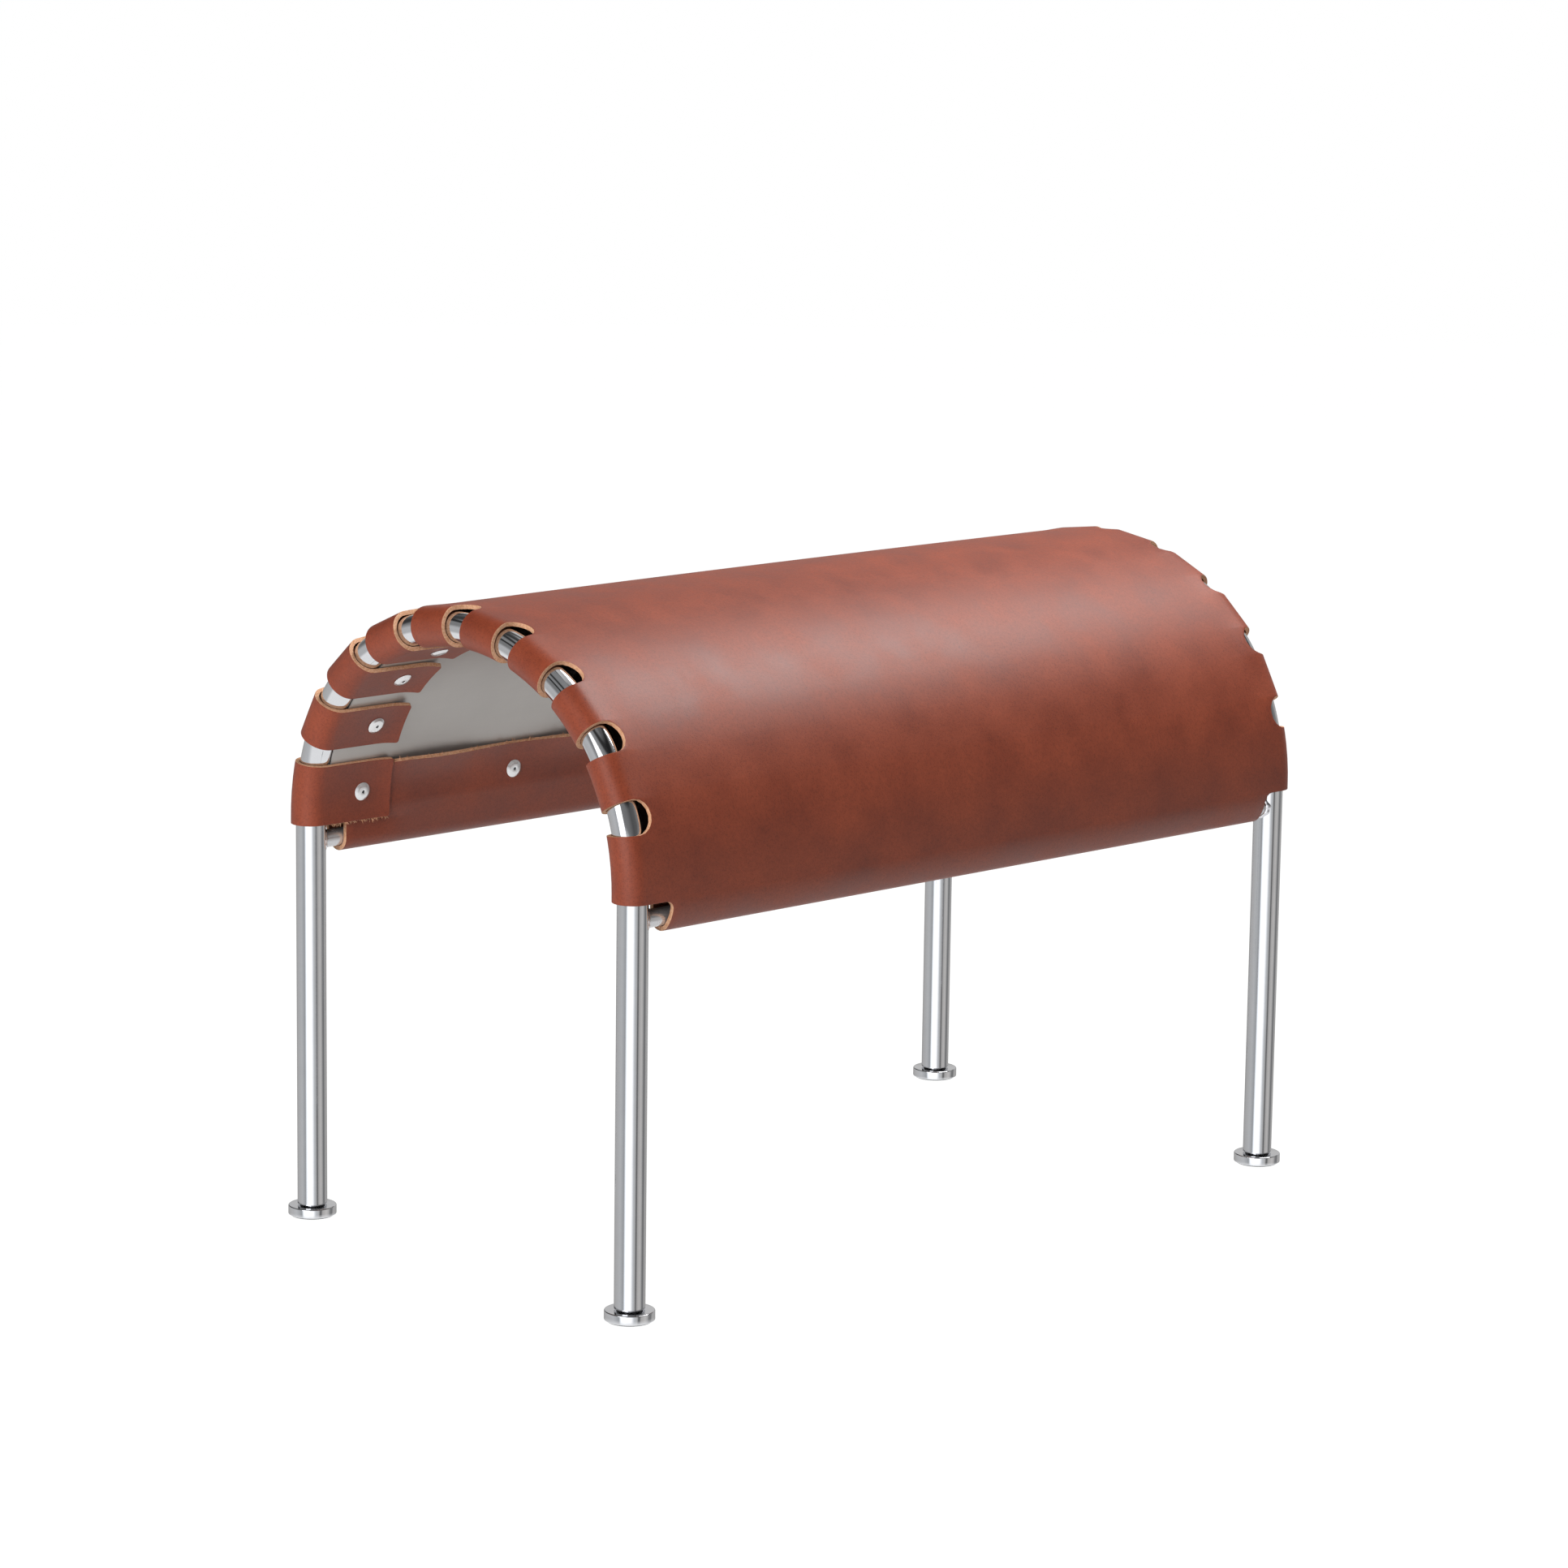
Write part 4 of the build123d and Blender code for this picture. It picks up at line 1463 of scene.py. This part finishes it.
@dataclass
class Rivets:
    """Blind rivets through the straps and flaps, each with its broken-off pin."""

    inset: float = 0.032
    head_radius: float = 0.0062
    head_height: float = 0.0017
    rim_height: float = 0.0005
    dome_radius: float = 0.0038
    shank_radius: float = 0.002
    bulb_radius: float = 0.0031
    bulb_length: float = 0.003
    bore_radius: float = 0.0011
    pin_radius: float = 0.00105
    pin_recess: float = 0.0008
    seat_gap: float = 0.00005
    edge: float = 0.00012
    flap_count: int = 3
    segments: int = 40
    dome_swell: float = 0.62
    sharpest: float = radians(30)
    grain: float = LeatherCover().grain
    grip: float = 0.00455

    @cached_property
    def head_seat(self) -> float:
        """Height of the head's underside over the leather, which is hollow across the strap."""
        return self.head_radius ** 2 / (2 * (ARCH.shoulder_radius - self.grain)) + self.seat_gap

    @cached_property
    def head_top(self) -> float:
        """Height of the head's top over the leather."""
        return self.head_seat + self.head_height

    @cached_property
    def bulb_end(self) -> float:
        """Height of the end of the bulb on the shank."""
        return -self.grip - self.bulb_length

    def rivet_profile(self) -> Profile:
        """Radius and height round the rivet's section, from its bore outwards and back."""
        seat, top, edge, bulb_end = self.head_seat, self.head_top, self.edge, self.bulb_end
        rim_top = seat + self.rim_height
        slope = (top - rim_top) / (self.head_radius - self.dome_radius)
        return [(self.bore_radius, bulb_end), (self.bulb_radius - edge, bulb_end),
                (self.bulb_radius, bulb_end + edge), (self.bulb_radius, -self.grip - edge),
                (self.bulb_radius - edge, -self.grip), (self.shank_radius, -self.grip),
                (self.shank_radius, seat), (self.head_radius - edge, seat),
                (self.head_radius, seat + edge), (self.head_radius, rim_top - edge),
                (self.head_radius - edge, rim_top),
                (self.head_radius - 4 * edge, rim_top + 0.5 * slope * 4 * edge),
                ((self.head_radius + self.dome_radius) / 2,
                 blend_of(rim_top, top, self.dome_swell)),
                (self.dome_radius, top), (self.bore_radius + 3 * edge, top + edge / 2),
                (self.bore_radius + edge, top), (self.bore_radius, top - edge),
                (self.bore_radius, top - self.pin_recess - 2 * edge), (self.bore_radius, bulb_end)]

    def pin_profile(self) -> Profile:
        """Radius and height round the pin, from its end in the bulb to its broken tip."""
        end, tip = self.bulb_end, self.head_top - self.pin_recess
        return [(self.pin_radius - self.edge, end), (self.pin_radius, end + self.edge),
                (self.pin_radius, tip - self.edge), (self.pin_radius - self.edge, tip),
                (self.pin_radius / 2, tip + self.edge), (0, tip + self.edge / 2)]

    def seat_matrix(self, run: float, x: float) -> Matrix:
        """Carries a turned rivet to a run and an X on the leather's inner face, facing inwards."""
        y, z, angle = ARCH.place(run, -self.grain)
        axis = Vector((0, -cos(angle), -sin(angle)))
        along = Vector((1, 0, 0))
        turn = Matrix((along, axis.cross(along), axis)).transposed().to_4x4()
        return Matrix.Translation((x, y, z)) @ turn

    def build(self, palette: Palette) -> None:
        """Builds the rivets and pins in their four groups and fits them."""
        rivet = Workpiece.turned("rivet_pattern", self.rivet_profile(), self.segments)
        pin = Workpiece.turned("pin_pattern", self.pin_profile(), self.segments // 2)
        pin.cap(lambda place: place.z < self.bulb_end + self.edge / 4)
        rivet.shade(self.sharpest)
        pin.shade(self.sharpest)
        for name, matrices in self.places().items():
            heads = rivet.repeated(f"{name}_heads", matrices)
            heads.fit("rivet_steel", [palette.rivet], name)
            pins = pin.repeated(f"{name}_pins", matrices)
            pins.fit("rivet_pin_steel", [palette.pin], name.replace("rivets", "rivet_pins"))
        rivet.discard()
        pin.discard()

    def places(self) -> dict[str, list[Matrix]]:
        """Lists the rivets' seats, by the name of the node that holds them."""
        groups: dict[str, list[Matrix]] = {}
        for end in End:
            x = end.value * (ARCH.half_length - self.inset)
            groups[f"strap_rivets_{end.word}"] = [self.seat_matrix(middle, x)
                                                  for middle, _ in STRAPS.table]
        last = ARCH.half_length - self.inset
        for side in Side:
            groups[f"flap_rivets_{side.word}"] = [
                self.seat_matrix(side.value * STRAPS.table[-1][0], x)
                for x in steps((-last, last), (self.flap_count + 1,))[:-1]]
        return groups


@dataclass
class Feet:
    """The four levelling feet: a turned disc, a stud and a glide each, and the leg's insert."""

    radius: float = 0.01625
    thickness: float = 0.0063
    edge: float = 0.0008
    lower_edge: float = 0.0006
    hub_radius: float = 0.006
    hub_top: float = Hoops.foot_height
    glide_radius: float = 0.015
    glide_thickness: float = 0.0014
    glide_proud: float = 0.0007
    stud_radius: float = 0.004
    stud_length: float = 0.023
    stud_sink: float = 0.004
    thread_pitch: float = 0.00125
    thread_depth: float = 0.0006
    thread_fill: float = 0.98
    plain_turns: int = 2
    insert_radius: float = 0.00848
    insert_bore: float = 0.00405
    insert_length: float = 0.020
    fit_gap: float = 0.00002
    segments: int = 72
    thread_steps: int = 24
    insert_segments: int = 40
    disc_sharpest: float = radians(20)
    glide_sharpest: float = radians(30)
    stud_sharpest: float = radians(35)

    @cached_property
    def disc_top(self) -> float:
        """Height of the disc's top."""
        return self.glide_proud + self.thickness

    def disc_profile(self) -> Profile:
        """Radius and height round the disc's section, from its top's middle outwards and under."""
        bottom, top, edge = self.glide_proud, self.disc_top, self.edge
        upper_round = quarter_round(self.radius - edge, top - edge, edge, start=90, count=6)
        lower_round = quarter_round(self.radius - self.lower_edge, bottom + self.lower_edge,
                                    self.lower_edge, start=0, count=5)
        recess = self.glide_radius + self.fit_gap
        stud = self.stud_radius + self.fit_gap
        floor = top - self.stud_sink
        return ([(stud, self.hub_top), (self.hub_radius - edge / 4, self.hub_top),
                 (self.hub_radius, self.hub_top - edge / 4), (self.hub_radius, top), *upper_round,
                 *lower_round, (recess, bottom), (recess, self.glide_thickness),
                 (stud, self.glide_thickness), (stud, floor), (stud, self.hub_top)])

    def glide_profile(self) -> Profile:
        """Radius and height of the glide, from the middle of its top outwards and under."""
        edge = self.glide_proud / 2
        return [(self.stud_radius / 4, self.glide_thickness),
                (self.glide_radius, self.glide_thickness),
                *quarter_round(self.glide_radius - edge, edge, edge, start=0, count=3),
                (self.stud_radius, 0.0), (0, 0.0)]

    def stud(self) -> Workpiece:
        """Turns the stud, with its thread run up it as one helix."""
        crest, root = self.stud_radius, self.stud_radius - self.thread_depth
        bottom = self.disc_top - self.stud_sink
        core = Workpiece.turned("stud_core", [(root, bottom), (root, bottom + self.stud_length),
                                              (0, bottom + self.stud_length)], self.thread_steps)
        thread = Workpiece.ring("thread", self.thread_pitch / 2, (0, 0, 0), 3)
        half = self.thread_pitch * self.thread_fill / 2
        sunk = root - self.thread_depth / 4
        corners = ((sunk, half), (crest, 0.0), (sunk, -half))
        for vertex, (radius, height) in zip(thread.obj.data.vertices, corners):
            vertex.co = (radius, 0, bottom + self.thread_pitch + height)
        turns = int(self.stud_length / self.thread_pitch) - self.plain_turns
        thread.modifier("SCREW", angle=2 * pi, screw_offset=self.thread_pitch,
                        steps=self.thread_steps, render_steps=self.thread_steps, iterations=turns,
                        use_merge_vertices=False, use_smooth_shade=True)
        thread.close_seams()
        stud = Workpiece.joined("stud_pattern", [core.obj, thread.obj])
        stud.shade(self.stud_sharpest)
        return stud

    def build(self, palette: Palette) -> None:
        """Builds the parts of one foot, copies them to the four legs and fits them."""
        disc = Workpiece.turned("disc_pattern", self.disc_profile(), self.segments)
        disc.shade(self.disc_sharpest)
        glide = Workpiece.turned("glide_pattern", self.glide_profile(), self.segments)
        glide.cap(lambda place: place.z > self.glide_thickness - self.fit_gap
                  and place.xy.length < self.stud_radius)
        glide.shade(self.glide_sharpest)
        stud = self.stud()
        top = self.hub_top + self.insert_length
        insert = Workpiece.turned("insert_pattern", [
            (self.insert_bore, self.hub_top), (self.insert_radius, self.hub_top),
            (self.insert_radius, top), (self.insert_bore, top), (self.insert_bore, self.hub_top)],
            self.insert_segments)
        insert.shade()
        parts = (("foot_disc", disc, "foot_chrome", palette.foot),
                 ("foot_glide", glide, "glide_plastic", palette.glide),
                 ("foot_stud", stud, "stud_steel", palette.stud),
                 ("leg_insert", insert, "insert_nylon", palette.nylon))
        for end in End:
            for side in Side:
                place = f"{end.word}_{side.word}"
                matrix = Matrix.Translation((end.value * ARCH.half_length,
                                             side.value * ARCH.half_width, 0))
                for node, pattern, slot, material in parts:
                    copy = Workpiece(pattern.copied_to(matrix))
                    copy.obj.name = f"{node}_{place}_dressed"
                    copy.fit(slot, [material], f"{node}_{place}",
                             body="root" if pattern is insert else f"foot_{place}")
        for _, pattern, _, _ in parts:
            pattern.discard()


@dataclass(frozen=True)
class PhotoCamera:
    """The camera of the picture, set by its place and its aim."""

    azimuth: float = radians(-43.432)
    distance: float = 3.418158
    height: float = 0.93898
    pitch: float = radians(10.849)
    yaw: float = radians(0.199)
    roll: float = radians(0.78)
    lens: float = 117.19
    sensor: float = 36.0

    def build(self) -> None:
        """Makes the camera and gives it to the scene."""
        data = bpy.data.cameras.new("picture_camera")
        data.lens = self.lens
        data.sensor_width = self.sensor
        camera = bpy.data.objects.new("picture_camera", data)
        place = Vector((sin(self.azimuth) * self.distance, -cos(self.azimuth) * self.distance,
                        self.height))
        camera.matrix_world = (Matrix.Translation(place)
                               @ Matrix.Rotation(self.azimuth + self.yaw, 4, "Z")
                               @ Matrix.Rotation(pi / 2 - self.pitch, 4, "X")
                               @ Matrix.Rotation(self.roll, 4, "Z"))
        bpy.context.collection.objects.link(camera)
        bpy.context.scene.camera = camera


@dataclass(frozen=True)
class Softbox:
    """A square softbox that points at the stool."""

    name: str
    place: tuple[float, float, float]
    size: float
    power: float
    in_reflections: bool = True
    aim_height: float = 0.3

    def build(self) -> None:
        """Makes the lamp."""
        data = bpy.data.lights.new(self.name, "AREA")
        data.shape = "SQUARE"
        data.size = self.size
        data.energy = self.power
        lamp = bpy.data.objects.new(self.name, data)
        lamp.location = self.place
        aim = Vector((0, 0, self.aim_height)) - Vector(self.place)
        lamp.rotation_euler = aim.to_track_quat("-Z", "Y").to_euler()
        bpy.context.collection.objects.link(lamp)
        lamp.visible_camera = False
        lamp.visible_glossy = self.in_reflections


@dataclass(frozen=True)
class Surroundings:
    """What polished metal mirrors: panels round the stool, darker above and bright below.

    Each panel is an angle round from the camera in degrees, positive to the camera's right, a
    brightness, and a warmth that is negative where the panel is cool. The upper panels are dimmed
    or lit by bands, each at a height from 0 level to 1 straight above.
    """

    level_panels: tuple[tuple[float, float, float], ...] = (
        (-180, 0.30, 0.02), (-125, 0.50, 0.01), (-76, 0.58, -0.01), (-60, 0.50, -0.02),
        (-46, 0.40, -0.03), (-36, 1.35, -0.03), (-20, 1.60, -0.02), (-6, 1.45, -0.01),
        (8, 1.40, 0.0), (22, 0.66, -0.03), (36, 0.52, 0.01), (42, 0.16, 0.0), (48, 0.16, 0.0),
        (54, 0.46, 0.03), (76, 0.60, 0.03), (90, 0.46, 0.02), (98, 0.24, 0.0), (112, 0.20, 0.0),
        (124, 0.46, 0.02), (160, 0.40, 0.02), (180, 0.30, 0.02))
    upper_panels: tuple[tuple[float, float, float], ...] = (
        (-180, 0.58, 0.01), (-167, 0.52, 0.0), (-157, 0.12, 0.0), (-136, 0.04, 0.0),
        (-122, 0.05, 0.0), (-112, 0.26, 0.0), (-80, 0.22, 0.0), (-40, 0.26, -0.01), (20, 0.20, 0.0),
        (50, 0.10, 0.0), (80, 0.12, 0.0), (112, 0.28, 0.01), (150, 0.50, 0.01), (180, 0.58, 0.01))
    height_bands: tuple[tuple[float, float], ...] = (
        (0.0, 1.0), (0.44, 1.0), (0.49, 0.12), (0.57, 0.12), (0.61, 1.3), (0.73, 1.0), (0.77, 0.15),
        (0.83, 0.15), (0.87, 1.1), (1.0, 1.1))
    ground: float = 0.95
    lower_edge: tuple[float, float] = (-0.30, -0.45)
    upper_edge: tuple[float, float] = (0.05, 0.24)

    def build(self, sheet: NodeSheet, azimuth: float) -> bpy.types.NodeSocket:
        """Lays out the surroundings.

        Args:
            sheet: The world's node tree.
            azimuth: Direction of the camera.

        Returns:
            The surroundings' colour.
        """
        way = sheet.add("TexCoord").outputs["Generated"]
        turned = sheet.add("Mapping", {"Vector": way, "Rotation": (0, 0, -azimuth)},
                           vector_type="POINT").outputs[0]
        parts = sheet.add("SeparateXYZ", {0: turned}).outputs
        angle = sheet.maths("ARCTAN2", parts["X"], sheet.maths("MULTIPLY", parts["Y"], -1.0))
        share = sheet.ranged(angle, start=-pi, stop=pi)
        level, upper = (
            sheet.ramp(share, [(0.5 + turn / 360,
                                (light * (1 + warmth), light, light * (1 - warmth), 1.0))
                               for turn, light, warmth in panels])
            for panels in (self.level_panels, self.upper_panels))
        bands = sheet.ramp(parts["Z"], [(height, grey(light))
                                        for height, light in self.height_bands])
        banded = sheet.mix(1.0, upper, bands, "MULTIPLY")
        raised, lowered = (sheet.ranged(parts["Z"], start=start, stop=stop)
                           for start, stop in (self.upper_edge, self.lower_edge))
        return sheet.mix(lowered, sheet.mix(raised, level, banded), grey(self.ground))


@dataclass
class Studio:
    """The white studio: floor, softboxes, surroundings and camera.

    The floor lies below the rest pose by the feet's travel, so a foot screwed out stands on it too.
    """

    camera: PhotoCamera = field(default_factory=PhotoCamera)
    surroundings: Surroundings = field(default_factory=Surroundings)
    softboxes: tuple[Softbox, ...] = (
        Softbox("softbox_sheen", (0.97, -0.2, 1.8), 0.9, 18.5),
        Softbox("softbox_key", (0.95, -0.2, 2.1), 1.2, 20.0, in_reflections=False),
        Softbox("softbox_front", (-2.85, -0.75, 1.1), 1.9, 50.0, in_reflections=False),
        Softbox("softbox_front_soft", (-2.85, -0.75, 1.12), 1.9, 18.0))
    floor_radius: float = 6.0
    floor_segments: int = 96
    floor_drop: float = 0.0062
    floor_tone: float = 0.45
    shadow_share: float = 0.2
    floor_glow: float = 1.24
    ambient: float = 0.10

    def build(self) -> None:
        """Makes the whole studio."""
        self.camera.build()
        self.build_world()
        self.build_floor()
        for lamp in self.softboxes:
            lamp.build()

    def build_world(self) -> None:
        """Makes the world: white to the eye, panels to polished metal, and a dim fill light."""
        world = bpy.data.worlds.new("studio_world")
        world.use_nodes = True
        bpy.context.scene.world = world
        sheet = NodeSheet(world.node_tree)
        rays = sheet.add("LightPath").outputs
        mirror, fill, white = (
            sheet.add("Background", {"Color": colour})
            for colour in (self.surroundings.build(sheet, self.camera.azimuth), grey(self.ambient),
                           grey(1.0)))
        whole = sheet.either(rays["Is Camera Ray"],
                             sheet.either(rays["Is Glossy Ray"], fill, mirror), white)
        sheet.add("OutputWorld", {"Surface": whole.outputs[0]})

    def build_floor(self) -> None:
        """Makes the white floor, which keeps a faint shadow and is left out of reflections."""
        floor = Workpiece.ring("studio_floor", self.floor_radius, (0, 0, -self.floor_drop),
                               self.floor_segments, fill="NGON")
        material, sheet = new_material("floor_white")
        matt = sheet.add("BsdfDiffuse", {"Color": grey(self.floor_tone)})
        glow = sheet.add("Emission", {"Color": grey(1.0), "Strength": self.floor_glow})
        seen = sheet.either(1 - self.shadow_share, matt, glow)
        whole = sheet.either(sheet.add("LightPath").outputs["Is Camera Ray"], matt, seen)
        sheet.add("OutputMaterial", {"Surface": whole.outputs[0]})
        floor.obj.data.materials.append(material)
        floor.obj.visible_glossy = False


def main() -> None:
    """Builds the stool and its studio."""
    logging.basicConfig(level=logging.INFO, format="%(message)s", stream=sys.stdout)
    bpy.context.scene.view_settings.view_transform = "Standard"
    Studio().build()
    palette = Palette()
    for part in (Hoops(), Rails(), Liner(), LeatherCover(), Rivets(), Feet()):
        log.info("building %s", type(part).__name__)
        part.build(palette)


if __name__ == "__main__":
    main()
